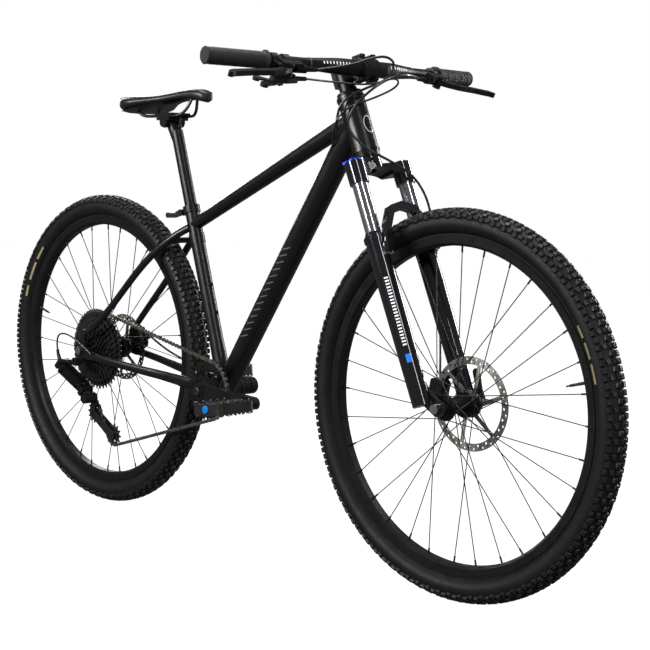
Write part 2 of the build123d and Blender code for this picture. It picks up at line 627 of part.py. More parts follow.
with BuildPart() as stem:
    rod(fork(STEM_LOW), fork(STEM_HIGH), 18.5)
    rod(fork((STEM_LOW + STEM_HIGH) / 2) + STEM_AHEAD * 8, CLAMP - STEM_AHEAD * 14, 15.5, 16.5)
    pin_y(CLAMP, -CLAMP_HALF, CLAMP_HALF, CLAMP_R)
    for tall in (-1, 1):
        for side in (-1, 1):
            ear = CLAMP + STEM_TALL * tall * 22.0 + LATERAL * side * 15.0
            rod(ear - STEM_AHEAD * 14.0, ear + STEM_AHEAD * 8.0, 6.0)
    rear_ear = Plane(origin=fork((STEM_LOW + STEM_HIGH) / 2, -17.0), x_dir=FORK_AHEAD, z_dir=FORK_UP)
    with Locations(rear_ear):
        Box(18.0, 16.0, 34.0)
    split_plane = Plane(origin=CLAMP - STEM_AHEAD * 1.0, x_dir=STEM_TALL, z_dir=STEM_AHEAD)
    with BuildSketch(split_plane) as seam:
        Rectangle(80.0, 80.0)
    extrude(seam.sketch, amount=2.0, mode=Mode.SUBTRACT)
    with Locations(rear_ear):
        Box(26.0, 2.0, 40.0, mode=Mode.SUBTRACT)
    pin_y(CLAMP, -40, 40, BAR_R + 0.05, mode=Mode.SUBTRACT)
    rod(fork(STEM_LOW - 5), fork(STEM_HIGH + 5), STEERER_R + 0.03, mode=Mode.SUBTRACT)
    for tall in (-1, 1):
        for side in (-1, 1):
            head = CLAMP + STEM_TALL * tall * 22.0 + LATERAL * side * 15.0 + STEM_AHEAD * 8.0
            bolt(head, STEM_AHEAD)
        pinch = fork((STEM_LOW + STEM_HIGH) / 2 + tall * 9.5, -21.0, 8.0)
        bolt(pinch, LATERAL)
    top_cap = fork(STEM_HIGH + 0.05)
    drum(square_to(top_cap, FORK_UP), 17.5, 3.5)
    bolt(top_cap + FORK_UP * 3.4, FORK_UP, 4.5, 3.5)
    for k in range(2):
        spacer = Plane(origin=fork(HEAD_HIGH + 8.0 + GAP + 9.2 * k), z_dir=FORK_UP)
        with BuildSketch(spacer) as washer:
            Circle(17.5)
            Circle(STEERER_R + 0.03, mode=Mode.SUBTRACT)
        extrude(washer.sketch, amount=9.1)
finish(stem.part, "stem")

with BuildPart() as handlebar:
    pin_y(CLAMP, -BAR_STRAIGHT, BAR_STRAIGHT, BAR_R)
    for side in (-1, 1):
        with Locations(bar(0, side)):
            Sphere(BAR_R)
        rod(bar(0, side), bar(30, side), BAR_R)
        rod(bar(30, side), bar(105, side), BAR_R, BAR_END_R)
        rod(bar(105, side), bar(BAR_ARM, side), BAR_END_R)
        rod(bar(150, side), bar(BAR_ARM + 1, side), BAR_END_R - 2.3, mode=Mode.SUBTRACT)
finish(handlebar.part, "handlebar")

with BuildPart() as grips:
    for side in (-1, 1):
        rod(bar(GRIP_START, side), bar(BAR_ARM + 3.5, side), GRIP_R)
        rod(bar(GRIP_START, side), bar(GRIP_START + 4, side), GRIP_R + 3.5)
        rod(bar(BAR_ARM, side), bar(BAR_ARM + 3.6, side), GRIP_R + 1.0)
        rod(bar(GRIP_START - 1, side), bar(BAR_ARM + 0.1, side), BAR_END_R + 0.05, mode=Mode.SUBTRACT)
finish(grips.part, "grips")

# ---- Brake levers and shifter on the handlebar ----
CLAMP_AT, PIVOT_AT = 178.0, 160.0
CONTROL_OUT = bar_direction(-1)
LEVER_AHEAD = Vector(cos(radians(LEVER_DROP)), 0, -sin(radians(LEVER_DROP)))
LEVER_AHEAD = (LEVER_AHEAD - CONTROL_OUT * LEVER_AHEAD.dot(CONTROL_OUT)).normalized()
LEVER_AXIS = CONTROL_OUT.cross(LEVER_AHEAD)
CLAMP_SPOT = bar(CLAMP_AT, -1)
PIVOT_SPOT = bar(PIVOT_AT, -1) + LEVER_AHEAD * 34.0


def control(out, ahead, up=0.0):
    """A point in the right-hand brake's frame: outwards, ahead of the bar and above its lever plane."""
    return bar(CLAMP_AT, -1) + CONTROL_OUT * out + LEVER_AHEAD * ahead + LEVER_AXIS * up


with BuildPart() as brake_masters:
    rod(control(-7, 0), control(7, 0), 15.5)
    with Locations(Plane(origin=control(-2, 18), x_dir=LEVER_AHEAD, z_dir=LEVER_AXIS)):
        Box(16.0, 18.0, 13.0)
    rod(control(8, 29), control(-58, 29), 9.5, 8.0)
    rod(control(-58, 29), control(-84, 27), 5.5, 4.5)
    with Locations(Plane(origin=control(-24, 28, 7.0), x_dir=LEVER_AHEAD, z_dir=LEVER_AXIS)):
        Box(21.0, 44.0, 11.0)
    rod(control(PIVOT_AT - CLAMP_AT, 34, -13), control(PIVOT_AT - CLAMP_AT, 34, 12), 8.5)
    rod(control(-14, 0), control(9, 0), BAR_END_R + 0.1, mode=Mode.SUBTRACT)
    with Locations(Plane(origin=control(-12, 46, 0), x_dir=LEVER_AHEAD, z_dir=LEVER_AXIS)):
        Box(44.0, 44.0, 11.0, mode=Mode.SUBTRACT)
    rod(control(PIVOT_AT - CLAMP_AT, 34, -13), control(PIVOT_AT - CLAMP_AT, 34, 12), 2.5)
    bolt(control(0, -15.0), LEVER_AHEAD * -1.0, 3.5, 3.0)
    mirror(about=Plane.XZ)
finish(brake_masters.part, "brake_masters")

with BuildPart() as brake_lever_right:
    lever = Plane(origin=PIVOT_SPOT - LEVER_AXIS * 5.0, x_dir=CONTROL_OUT, z_dir=LEVER_AXIS)
    blade = [(0, 0, 7.0), (20, -12.0, 6.0), (48, -22.0, 5.2)]
    blade += [(96, -30.0, 5.0), (142, -41.0, 5.5), (150, -46.0, 5.0)]
    web(lever, [(x, -y, r) for x, y, r in blade] if lever.y_dir.dot(LEVER_AHEAD) > 0 else blade, 10.0)
    drum(lever.offset(-1.0), 2.5 + RUNNING, 12.0, Mode.SUBTRACT)
finish(brake_lever_right.part, "brake_lever_right")

with BuildPart() as brake_lever_left:
    mirror(brake_lever_right.part, about=Plane.XZ)
finish(brake_lever_left.part, "brake_lever_left")

POD_AT = -22.0
with BuildPart() as shifter_pod:
    pod = Plane(origin=control(POD_AT, 12.0, -31.0), x_dir=CONTROL_OUT, z_dir=LEVER_AXIS)
    tall = 1 if pod.y_dir.dot(LEVER_AHEAD) > 0 else -1
    web(pod, [(-26, tall * 6.0, 7.0), (0, 0, 19.0), (14, tall * 4.0, 12.0)], 9.0)
    web(pod.offset(8.9), [(-20, tall * 4.0, 6.0), (0, 0, 14.0), (10, tall * 2.0, 9.0)], 5.0)
    rod(control(POD_AT - 24.0, 18.0, -24.5), control(POD_AT - 50.0, 19.0, -23.0), 5.0, 4.0)
    with Locations(Plane(origin=control(POD_AT - 4.0, 7.0, -18.0), x_dir=LEVER_AHEAD, z_dir=LEVER_AXIS)):
        Box(14.0, 12.0, 14.0)
    rod(control(POD_AT - 11.0, 0), control(POD_AT + 3.0, 0), 14.5)
    rod(control(POD_AT - 12.0, 0), control(POD_AT + 4.0, 0), BAR_END_R + 0.1, mode=Mode.SUBTRACT)
    pivot = square_to(control(POD_AT, 12.0, -31.0), LEVER_AXIS * -1.0)
    drum(pivot, 2.5, 12.0)
finish(shifter_pod.part, "shifter_pod")


def paddle(depth, spots):
    """A thumb paddle that turns on the shifter's pin."""
    plane = Plane(origin=control(POD_AT, 12.0, -31.0 - depth), x_dir=CONTROL_OUT, z_dir=LEVER_AXIS * -1.0)
    flip = 1 if plane.y_dir.dot(LEVER_AHEAD) > 0 else -1
    placed = [(x, flip * y, r) for x, y, r in spots]
    web(plane, placed, 4.0)
    last_x, last_y, last_r = placed[-1]
    with BuildSketch(plane) as tip:
        with Locations((last_x, last_y)):
            Circle(last_r)
    extrude(tip.sketch, amount=-3.0 if depth > 5 else 7.0)
    drum(plane.offset(-4.0), 2.5 + RUNNING, 16.0, Mode.SUBTRACT)


with BuildPart() as shift_lever_main:
    paddle(0.4, [(0, 0, 7.0), (24, 16.0, 4.5), (46, 20.0, 8.0)])
finish(shift_lever_main.part, "shift_lever_main")

with BuildPart() as shift_lever_release:
    paddle(4.8, [(0, 0, 7.0), (22, -12.0, 4.5), (40, -20.0, 7.0)])
finish(shift_lever_release.part, "shift_lever_release")

# ---- Wheels ----
RIM_OUTLINE = [
    (RIM_BED_R, -8.0), (RIM_BED_R, 8.0), (303.0, 13.0), (RIM_EDGE_R, 14.0), (RIM_EDGE_R, 12.0),
    (BEAD_SEAT_R - 1.5, 11.6), (307.0, 5.0), (307.0, -5.0), (BEAD_SEAT_R - 1.5, -11.6),
    (RIM_EDGE_R, -12.0), (RIM_EDGE_R, -14.0), (303.0, -13.0),
]
RIM_CAVITY = [
    (300.0, -7.2), (300.0, 7.2), (304.3, 11.4), (307.2, 10.6),
    (305.0, 4.6), (305.0, -4.6), (307.2, -10.6), (304.3, -11.4),
]


def rim_shape(axle, valve_angle):
    """A box-section rim with its valve hole."""
    spin(axle, RIM_OUTLINE)
    plane = Plane(origin=axle, x_dir=(0, 0, 1), z_dir=(-1, 0, 0))
    with BuildSketch(plane) as cavity:
        with BuildLine():
            Polyline(*RIM_CAVITY, close=True)
        make_face()
    revolve(cavity.sketch, axis=Axis(axle, (0, 1, 0)), mode=Mode.SUBTRACT)
    outward = Vector(cos(radians(valve_angle)), 0, sin(radians(valve_angle)))
    rod(axle + outward * 290, axle + outward * 312, VALVE_R + 0.3, mode=Mode.SUBTRACT)
    joint = axle - outward * 302.6
    with BuildSketch(square_to(joint, LATERAL.cross(outward), LATERAL)) as sleeve:
        Rectangle(14.0, 3.6)
    extrude(sleeve.sketch, amount=30.0, both=True)


def tyre_shape(axle):
    """A hollow tyre casing with its two beads and a plain tread band."""
    plane = Plane(origin=axle, x_dir=(0, 0, 1), z_dir=(-1, 0, 0))
    with BuildSketch(plane) as casing:
        with Locations((TYRE_CENTRE_R, 0)):
            Circle(TYRE_SECTION_R)
        with BuildLine():
            left_side = ((358.0, -20.5), (365.0, -19.0), (TYRE_R, -9.0))
            right_side = ((TYRE_R, 9.0), (365.0, 19.0), (358.0, 20.5))
            Polyline(*left_side, *right_side, close=True)
        make_face()
        with Locations((315.5, 0)):
            Rectangle(11.0, 22.6)
        with Locations((TYRE_CENTRE_R, 0)):
            Circle(TYRE_SECTION_R - TYRE_WALL, mode=Mode.SUBTRACT)
        with Locations((314.0, 0)):
            Rectangle(24.0, 17.0, mode=Mode.SUBTRACT)
    revolve(casing.sketch, axis=Axis(axle, (0, 1, 0)))


def inner_tube_shape(axle, valve_angle):
    """An inner tube with its valve stem, open inside."""
    plane = Plane(origin=axle, x_dir=(0, 0, 1), z_dir=(-1, 0, 0))
    tube_r = TYRE_SECTION_R - TYRE_WALL - GAP
    with BuildSketch(plane) as outer_wall:
        with Locations((TYRE_CENTRE_R, 0)):
            Circle(tube_r)
    revolve(outer_wall.sketch, axis=Axis(axle, (0, 1, 0)))
    outward = Vector(cos(radians(valve_angle)), 0, sin(radians(valve_angle)))
    rod(axle + outward * (VALVE_REACH + VALVE_TIP), axle + outward * 322, VALVE_R)
    rod(axle + outward * VALVE_REACH, axle + outward * (VALVE_REACH + VALVE_TIP + 0.5), VALVE_TIP_R)
    rod(axle + outward * (VALVE_REACH - 8.0), axle + outward * (VALVE_REACH + 0.5), 1.6)
    with BuildSketch(plane) as air:
        with Locations((TYRE_CENTRE_R, 0)):
            Circle(tube_r - 1.0)
    revolve(air.sketch, axis=Axis(axle, (0, 1, 0)), mode=Mode.SUBTRACT)
    rod(axle + outward * (VALVE_REACH + 12.0), axle + outward * 325, 1.2, mode=Mode.SUBTRACT)


def spoke_shapes(axle, flanges, hole_circle):
    """Thirty-two crossed spokes with their nipples: one of each kind, repeated round the hub."""
    per_flange = SPOKE_COUNT // 2
    step = 360.0 / per_flange
    for flange_y, first_angle in flanges:
        for way in (1, -1):
            rim_angle = first_angle if way > 0 else first_angle + step
            hub_angle = rim_angle + way * SPOKE_LEAN
            out, up = cos(radians(hub_angle)), sin(radians(hub_angle))
            start = axle + Vector(out * hole_circle, flange_y + way * SPOKE_STAND, up * hole_circle)
            out, up = cos(radians(rim_angle)), sin(radians(rim_angle))
            tip_y = 3.0 if flange_y > 0 else -3.0
            end = axle + Vector(out * (RIM_BED_R - 0.3), tip_y, up * (RIM_BED_R - 0.3))
            reach = (end - start).normalized()
            with BuildSketch(square_to(start, reach)) as wire:
                Circle(SPOKE_R)
            spoke = extrude(wire.sketch, amount=(end - start).length, mode=Mode.PRIVATE)
            with BuildSketch(square_to(end - reach * 12.0, reach)) as collar:
                Circle(1.9)
            nipple = extrude(collar.sketch, amount=12.0, mode=Mode.PRIVATE)
            pair = spoke.fuse(nipple)
            for turn in range(per_flange // 2):
                add(pair.rotate(Axis(axle, (0, -1, 0)), turn * 2 * step), clean=False)


def hub_shape(axle, flanges, flange_r, rotor_y, end_y):
    """A hub shell with two drilled flanges and a rotor seat, bored for its axle."""
    low_y, high_y = end_y
    ring_about(axle, 13.5, 0, flanges[1][0], flanges[0][0])
    ring_about(axle, 10.5, 0, low_y, high_y)
    ring_about(axle, 19.0, 0, flanges[0][0], rotor_y - ROTOR_THICKNESS / 2 - 0.05)
    ring_about(axle, 15.8, 0, rotor_y - 6.0, rotor_y + 5.0)
    for flange_y, first_angle in flanges:
        ring_about(axle, flange_r, 0, flange_y - 1.5, flange_y + 1.5)
        ring_about(axle, 17.0, 0, flange_y - 3.0, flange_y + 3.0)
    ring_about(axle, AXLE_R + RUNNING, 0, low_y - 1, high_y + 1, mode=Mode.SUBTRACT)


def rotor_shape(axle, radius, y):
    """A brake rotor: a pierced braking band on six swept arms and a bolted carrier."""
    face = across(Vector(axle.X, y + ROTOR_THICKNESS / 2, axle.Z))
    band = 15.0
    with BuildSketch(face) as disc:
        Circle(radius)
        Circle(radius - band, mode=Mode.SUBTRACT)
        Circle(26.0)
        with PolarLocations(0, 6):
            Polygon((20, -5), (24, 6), (radius - band + 1, 26), (radius - band + 1, 18), align=None)
        Circle(16.0, mode=Mode.SUBTRACT)
        with PolarLocations(radius - band * 0.68, 24):
            Circle(2.6, mode=Mode.SUBTRACT)
        with PolarLocations(radius - band * 0.32, 24, start_angle=7.5):
            Circle(2.3, mode=Mode.SUBTRACT)
    extrude(disc.sketch, amount=ROTOR_THICKNESS)
    for turn in range(6):
        angle = radians(30 + 60 * turn)
        spot = axle + Vector(cos(angle) * 22.0, 0, sin(angle) * 22.0)
        pin_y(spot, y + ROTOR_THICKNESS / 2, y + ROTOR_THICKNESS / 2 + 2.2, 3.4)


SPOKE_LEAN, SPOKE_STAND, SPOKE_R = 67.5, 2.3, 1.0
FRONT_VALVE_ANGLE, REAR_VALVE_ANGLE = 15.0, 165.0
FRONT_FLANGES = ((21.0, 0.0), (-34.0, 11.25))
REAR_FLANGES = ((33.0, 0.0), (-19.5, 11.25))
FRONT_HOLES, REAR_HOLES = 22.0, 27.0

with BuildPart() as front_rim:
    rim_shape(FRONT, FRONT_VALVE_ANGLE)
finish(front_rim.part, "front_rim")

with BuildPart() as rear_rim:
    rim_shape(REAR, REAR_VALVE_ANGLE)
finish(rear_rim.part, "rear_rim")

with BuildPart() as front_tyre:
    tyre_shape(FRONT)
finish(front_tyre.part, "front_tyre")

with BuildPart() as rear_tyre:
    tyre_shape(REAR)
finish(rear_tyre.part, "rear_tyre")

with BuildPart() as front_inner_tube:
    inner_tube_shape(FRONT, FRONT_VALVE_ANGLE)
finish(front_inner_tube.part, "front_inner_tube")

with BuildPart() as rear_inner_tube:
    inner_tube_shape(REAR, REAR_VALVE_ANGLE)
finish(rear_inner_tube.part, "rear_inner_tube")

with BuildPart() as front_spokes:
    spoke_shapes(FRONT, FRONT_FLANGES, FRONT_HOLES)
finish(front_spokes.part, "front_spokes")

with BuildPart() as rear_spokes:
    spoke_shapes(REAR, REAR_FLANGES, REAR_HOLES)
finish(rear_spokes.part, "rear_spokes")

with BuildPart() as front_hub:
    hub_shape(FRONT, FRONT_FLANGES, FRONT_HOLES + 3.0, FRONT_ROTOR_Y, (-FRONT_HALF, FRONT_HALF))
finish(front_hub.part, "front_hub")

CASSETTE_INNER = COG_Y + 3.0
with BuildPart() as rear_hub:
    hub_shape(REAR, REAR_FLANGES, REAR_HOLES + 3.0, REAR_ROTOR_Y, (CASSETTE_INNER + 0.3, REAR_HALF))
finish(rear_hub.part, "rear_hub")

with BuildPart() as front_rotor:
    rotor_shape(FRONT, FRONT_ROTOR_R, FRONT_ROTOR_Y)
finish(front_rotor.part, "front_rotor")

with BuildPart() as rear_rotor:
    rotor_shape(REAR, REAR_ROTOR_R, REAR_ROTOR_Y)
finish(rear_rotor.part, "rear_rotor")


# ---- Toothed wheels ----
def toothed(centre, teeth, phase, thickness, bore):
    """A chain wheel whose tooth gaps seat the rollers; the centre is in the wheel's middle plane."""
    seat_r = ROLLER_R + 0.15
    pitch_r = wheel_r(teeth)
    tip_r = pitch_r + 3.2
    half_step = pi / teeth
    near = seat_r / pitch_r
    far = half_step - 1.1 / tip_r
    with BuildSketch(across(centre + LATERAL * (thickness / 2))) as disc:
        with BuildLine():
            for k in range(teeth):
                middle = radians(phase) + 2 * half_step * k
                left = (cos(middle - near) * pitch_r, sin(middle - near) * pitch_r)
                low = (cos(middle) * (pitch_r - seat_r), sin(middle) * (pitch_r - seat_r))
                right = (cos(middle + near) * pitch_r, sin(middle + near) * pitch_r)
                tip = (cos(middle + far) * tip_r, sin(middle + far) * tip_r)
                next_middle = middle + 2 * half_step
                next_tip = (cos(next_middle - far) * tip_r, sin(next_middle - far) * tip_r)
                next_left = (cos(next_middle - near) * pitch_r, sin(next_middle - near) * pitch_r)
                ThreePointArc(left, low, right)
                Polyline(right, tip, next_tip, next_left)
        make_face()
        if bore:
            Circle(bore, mode=Mode.SUBTRACT)
    extrude(disc.sketch, amount=thickness)


COG_PHASE, RING_PHASE, TENSION_PHASE, GUIDE_PHASE = [tooth_phase(CHAIN_LOOP, k) for k in (0, 2, 4, 6)]

with BuildPart() as cassette:
    for k, teeth in enumerate(SPROCKETS):
        cog_y = COG_Y - SPROCKET_STEP * k
        toothed(Vector(REAR.X, cog_y, REAR.Z), teeth, COG_PHASE, 1.7, 17.6 if teeth > 13 else 0)
        if teeth > 21:
            with BuildSketch(across(Vector(REAR.X, cog_y + 2, REAR.Z))) as windows:
                with PolarLocations(wheel_r(teeth) - 9.5, 7, start_angle=8 * k):
                    SlotArc(CenterArc((-(wheel_r(teeth) - 9.5), 0), wheel_r(teeth) - 9.5, -14, 28), 6.5)
            extrude(windows.sketch, amount=4.0, mode=Mode.SUBTRACT)
    last_y = COG_Y - SPROCKET_STEP * (len(SPROCKETS) - 1)
    ring_about(REAR, 20.0, 0, last_y + 3.0, CASSETTE_INNER)
    ring_about(REAR, 15.0, 0, last_y - 2.0, last_y + 3.0)
    for k in range(5):
        web(across(Vector(REAR.X, COG_Y + 0.5, REAR.Z)), [(0, 0, 19.0)] + [
            (cos(radians(72 * k + 8)) * 58.0, sin(radians(72 * k + 8)) * 58.0, 4.5)], 13.0)
    ring_about(REAR, AXLE_R + RUNNING, 0, -80, 0, mode=Mode.SUBTRACT)
    ring_about(REAR, 9.5, 0, last_y - 3.0, last_y + 6.0, mode=Mode.SUBTRACT)
finish(cassette.part, "cassette")

with BuildPart() as chainring:
    toothed(Vector(BRACKET.X, RING_Y, BRACKET.Z), RING_TEETH, RING_PHASE, 1.9, 43.0)
    with BuildSketch(across(Vector(BRACKET.X, RING_Y + 0.95, BRACKET.Z))) as tabs:
        with PolarLocations(47.0, 4, start_angle=45 - CRANK_DIP):
            Circle(7.0)
        Circle(38.0, mode=Mode.SUBTRACT)
    extrude(tabs.sketch, amount=1.9)
    with BuildSketch(across(Vector(BRACKET.X, RING_Y + 2.0, BRACKET.Z))) as holes:
        with PolarLocations(47.0, 4, start_angle=45 - CRANK_DIP):
            Circle(4.1)
        with PolarLocations(52.0, 12, start_angle=22.5 - CRANK_DIP):
            Circle(3.2)
    extrude(holes.sketch, amount=4.0, mode=Mode.SUBTRACT)
finish(chainring.part, "chainring")

# ---- Cranks and pedals ----
CRANK_AHEAD = Vector(cos(radians(CRANK_DIP)), 0, -sin(radians(CRANK_DIP)))
PEDAL_RIGHT = BRACKET + CRANK_AHEAD * CRANK_LENGTH
PEDAL_LEFT = BRACKET - CRANK_AHEAD * CRANK_LENGTH
ARM_IN, ARM_OUT = 62.0, 78.0
PEDAL_PIN_R = 4.5


def crank_arm(side):
    """One crank arm with its pedal eye, and the pedal axle screwed into it."""
    plane = Plane(origin=BRACKET + LATERAL * side * ARM_IN, x_dir=CRANK_AHEAD * -side, z_dir=(0, side, 0))
    web(plane, [(0, 0, 19.0), (55, 0, 14.5), (CRANK_LENGTH, 0, 13.0)], ARM_OUT - ARM_IN)
    low, high = sorted((side * 46.0, side * 80.0))
    ring_about(BRACKET, 18.0, 0, low, high)
    eye = BRACKET - CRANK_AHEAD * (CRANK_LENGTH * side)
    pin_y(eye, side * (ARM_IN - 1), side * (ARM_OUT + 1), 7.02, mode=Mode.SUBTRACT)
    pin_y(eye, side * ARM_IN, side * (PEDAL_IN - 0.5), 7.0)
    pin_y(eye, side * (ARM_OUT + 8.0), side * (PEDAL_IN - 0.5), 9.0)
    pin_y(eye, side * (PEDAL_IN - 1.0), side * (PEDAL_OUT - 6.0), PEDAL_PIN_R)


with BuildPart() as right_crank:
    crank_arm(-1)
    spider = across(BRACKET + LATERAL * (RING_Y - 1.0))
    for k in range(4):
        angle = radians(45 - CRANK_DIP + 90 * k)
        web(spider, [(0, 0, 17.0), (cos(angle) * 47.0, sin(angle) * 47.0, 8.0)], 5.0)
    ring_about(BRACKET, 18.0, 0, -ARM_OUT, RING_Y - 1.0)
    ring_about(BRACKET, SPINDLE_R + 0.03, 0, -70.0, -40.0, mode=Mode.SUBTRACT)
    for k in range(4):
        angle = radians(45 - CRANK_DIP + 90 * k)
        spot = BRACKET + Vector(cos(angle) * 47.0, 0, sin(angle) * 47.0)
        pin_y(spot, RING_Y + 2.6, RING_Y - 7.5, 4.0)
        pin_y(spot, RING_Y + 1.1, RING_Y + 2.6, 6.5)
    drum(across(Vector(BRACKET.X, -80.0, BRACKET.Z)), 11.0, 2.5)
    drum(across(Vector(BRACKET.X, -79.0, BRACKET.Z)), 5.0, 4.0, Mode.SUBTRACT)
finish(right_crank.part, "right_crank")

with BuildPart() as left_crank:
    crank_arm(1)
    pin_y(BRACKET, -69.9, 60.0, SPINDLE_R)
    pin_y(BRACKET, 80.0, 82.0, 11.0)
finish(left_crank.part, "left_crank")


def pedal_shape(centre, side):
    """A caged platform pedal on a middle barrel, with a capped outer end."""
    middle = Vector(centre.X, side * (PEDAL_IN + PEDAL_OUT) / 2, centre.Z)
    plane = Plane(origin=middle, x_dir=(1, 0, 0), z_dir=(0, 0, 1)).rotated((0, PEDAL_TILT, 0))
    with BuildSketch(plane.offset(-11.0)) as cage:
        Rectangle(88.0, 94.0)
        fillet(cage.vertices(), 12.0)
        with GridLocations(52.0, 0, 2, 1):
            Rectangle(24.0, 74.0, mode=Mode.SUBTRACT)
    extrude(cage.sketch, amount=22.0)
    pin_y(middle, middle.Y - 47.0, middle.Y + 47.0, 14.0)
    for face in (-1, 1):
        with BuildSketch(plane.offset(face * 11.0)) as teeth:
            with GridLocations(84.0, 11.0, 2, 8):
                Rectangle(3.5, 5.0)
        extrude(teeth.sketch, amount=face * 2.5)
    inner, outer = middle.Y - side * 60, middle.Y + side * 60
    pin_y(middle, inner, middle.Y + side * 44.5, PEDAL_PIN_R + RUNNING, mode=Mode.SUBTRACT)
    pin_y(middle, middle.Y + side * 46.5, middle.Y + side * 49.5, 7.5)


PEDAL_TILT = -6.0
with BuildPart() as pedal_right:
    pedal_shape(PEDAL_RIGHT, -1)
finish(pedal_right.part, "pedal_right")

with BuildPart() as pedal_left:
    pedal_shape(PEDAL_LEFT, 1)
finish(pedal_left.part, "pedal_left")

# ---- Derailleur: bracket, two parallel links, knuckle, cage and two wheels ----
LINK_SLOPE, LINK_LEAN, LINK_LENGTH = 47.0, 25.0, 62.0
LINK_ALONG = Vector(cos(radians(LINK_SLOPE)), 0, -sin(radians(LINK_SLOPE)))
LINK_AXIS = Vector(sin(radians(LINK_SLOPE)), 0, cos(radians(LINK_SLOPE)))
LINK_REST = LINK_ALONG * cos(radians(LINK_LEAN)) + LATERAL * sin(radians(LINK_LEAN))
LINK_OUTER = Vector(REAR.X - 56.0, -92.0, REAR.Z - 48.0)
LINK_INNER = LINK_OUTER + LATERAL * 18.0
KNUCKLE_OUTER = LINK_OUTER + LINK_REST * LINK_LENGTH
KNUCKLE_INNER = LINK_INNER + LINK_REST * LINK_LENGTH
CAGE_PIVOT = Vector(REAR.X - 1.0, 0, 253.0)
PIVOT_R = 2.0
CAGE_OUT_Y, CAGE_IN_Y = COG_Y - 6.4, COG_Y + 6.4


def barrels(outer, inner, way):
    """Two hinge barrels joined by a block; way says on which side of them the block stands."""
    for pivot in (outer, inner):
        drum(square_to(pivot - LINK_AXIS * 7.0, LINK_AXIS), 6.0, 14.0)
        near, far = pivot, pivot + LINK_ALONG * way * 12.0
        with Locations(Plane(origin=(near + far) / 2, x_dir=LINK_ALONG, z_dir=LINK_AXIS)):
            Box(12.0, 9.0, 14.0)
    middle = (outer + inner) / 2 + LINK_ALONG * way * 14.0
    with Locations(Plane(origin=middle, x_dir=LINK_ALONG, z_dir=LINK_AXIS)):
        Box(11.0, 30.0, 24.0)


def bore_barrels(outer, inner):
    """The running bores for the link pins."""
    for pivot in (outer, inner):
        drum(square_to(pivot - LINK_AXIS * 20.0, LINK_AXIS), PIVOT_R + RUNNING, 40.0, Mode.SUBTRACT)


with BuildPart() as derailleur_mount:
    barrels(LINK_OUTER, LINK_INNER, -1)
    bore_barrels(LINK_OUTER, LINK_INNER)
    neck_y = -STAY_OUTER - 9.2
    neck = Vector(HANGER.X, neck_y, HANGER.Z)
    block = (LINK_OUTER + LINK_INNER) / 2 - LINK_ALONG * 19.0
    rod(neck, Vector(block.X, -84.0, block.Z), 6.0)
    pin_y(HANGER, -STAY_OUTER - 13.0, -STAY_OUTER - 0.1, 10.0)
    pin_y(HANGER, -STAY_OUTER - 0.2, -STAY_INNER, 4.9)
    adjuster = Vector(REAR.X - 76.0, -86.0, REAR.Z - 33.0)
    rod(Vector(block.X, -86.0, block.Z), adjuster + Vector(-3.0, 0, 18.0), 5.0, 4.2)
    rod(adjuster + Vector(-3.0, 0, 18.0), adjuster + Vector(-5.0, 0, 29.0), 3.6)
finish(derailleur_mount.part, "derailleur_mount")


def link_shape(pivot):
    """A forked link with a pin through each end."""
    plane = Plane(origin=pivot - LINK_AXIS * 12.0, x_dir=LINK_REST, z_dir=LINK_AXIS)
    web(plane, [(0, 0, 5.0), (LINK_LENGTH, 0, 5.0)], 24.0)
    for x in (0, LINK_LENGTH):
        centre = pivot + LINK_REST * x
        drum(square_to(centre - LINK_AXIS * 7.4, LINK_AXIS), 9.0, 14.8, Mode.SUBTRACT)
        drum(square_to(centre - LINK_AXIS * 12.0, LINK_AXIS), PIVOT_R, 24.0)


with BuildPart() as derailleur_link_outer:
    link_shape(LINK_OUTER)
finish(derailleur_link_outer.part, "derailleur_link_outer")

with BuildPart() as derailleur_link_inner:
    link_shape(LINK_INNER)
finish(derailleur_link_inner.part, "derailleur_link_inner")

with BuildPart() as derailleur_knuckle:
    barrels(KNUCKLE_OUTER, KNUCKLE_INNER, 1)
    bore_barrels(KNUCKLE_OUTER, KNUCKLE_INNER)
    block = (KNUCKLE_OUTER + KNUCKLE_INNER) / 2 + LINK_ALONG * 14.0
    rod(block, Vector(CAGE_PIVOT.X, block.Y, CAGE_PIVOT.Z), 10.0, 11.0)
    pin_y(CAGE_PIVOT, block.Y - 10.0, CAGE_OUT_Y - 3.6, 13.0)
    pin_y(CAGE_PIVOT, CAGE_OUT_Y - 3.6, CAGE_OUT_Y - 0.2, 4.0)
finish(derailleur_knuckle.part, "derailleur_knuckle")

with BuildPart() as derailleur_cage:
    pivot_at = (CAGE_PIVOT.X - GUIDE.X, CAGE_PIVOT.Z - GUIDE.Z)
    tension_at = (TENSION.X - GUIDE.X, TENSION.Z - GUIDE.Z)
    outer_face = across(Vector(GUIDE.X, CAGE_OUT_Y - 1.0, GUIDE.Z))
    inner_face = across(Vector(GUIDE.X, CAGE_IN_Y + 1.0, GUIDE.Z))
    web(outer_face, [(*pivot_at, 11.0), (0, 0, 9.0), (*tension_at, 11.0)], 2.2)
    web(inner_face, [(0, 0, 9.0), (*tension_at, 11.0)], 2.2)
    for wheel in (GUIDE, TENSION):
        pin_y(wheel, CAGE_OUT_Y - 4.5, CAGE_IN_Y + 2.0, 2.5)
        pin_y(wheel, CAGE_OUT_Y - 4.5, CAGE_OUT_Y - 2.0, 5.0)
    pin_y(CAGE_PIVOT, CAGE_OUT_Y - 10.0, CAGE_OUT_Y + 10.0, 4.0 + RUNNING, mode=Mode.SUBTRACT)
finish(derailleur_cage.part, "derailleur_cage")


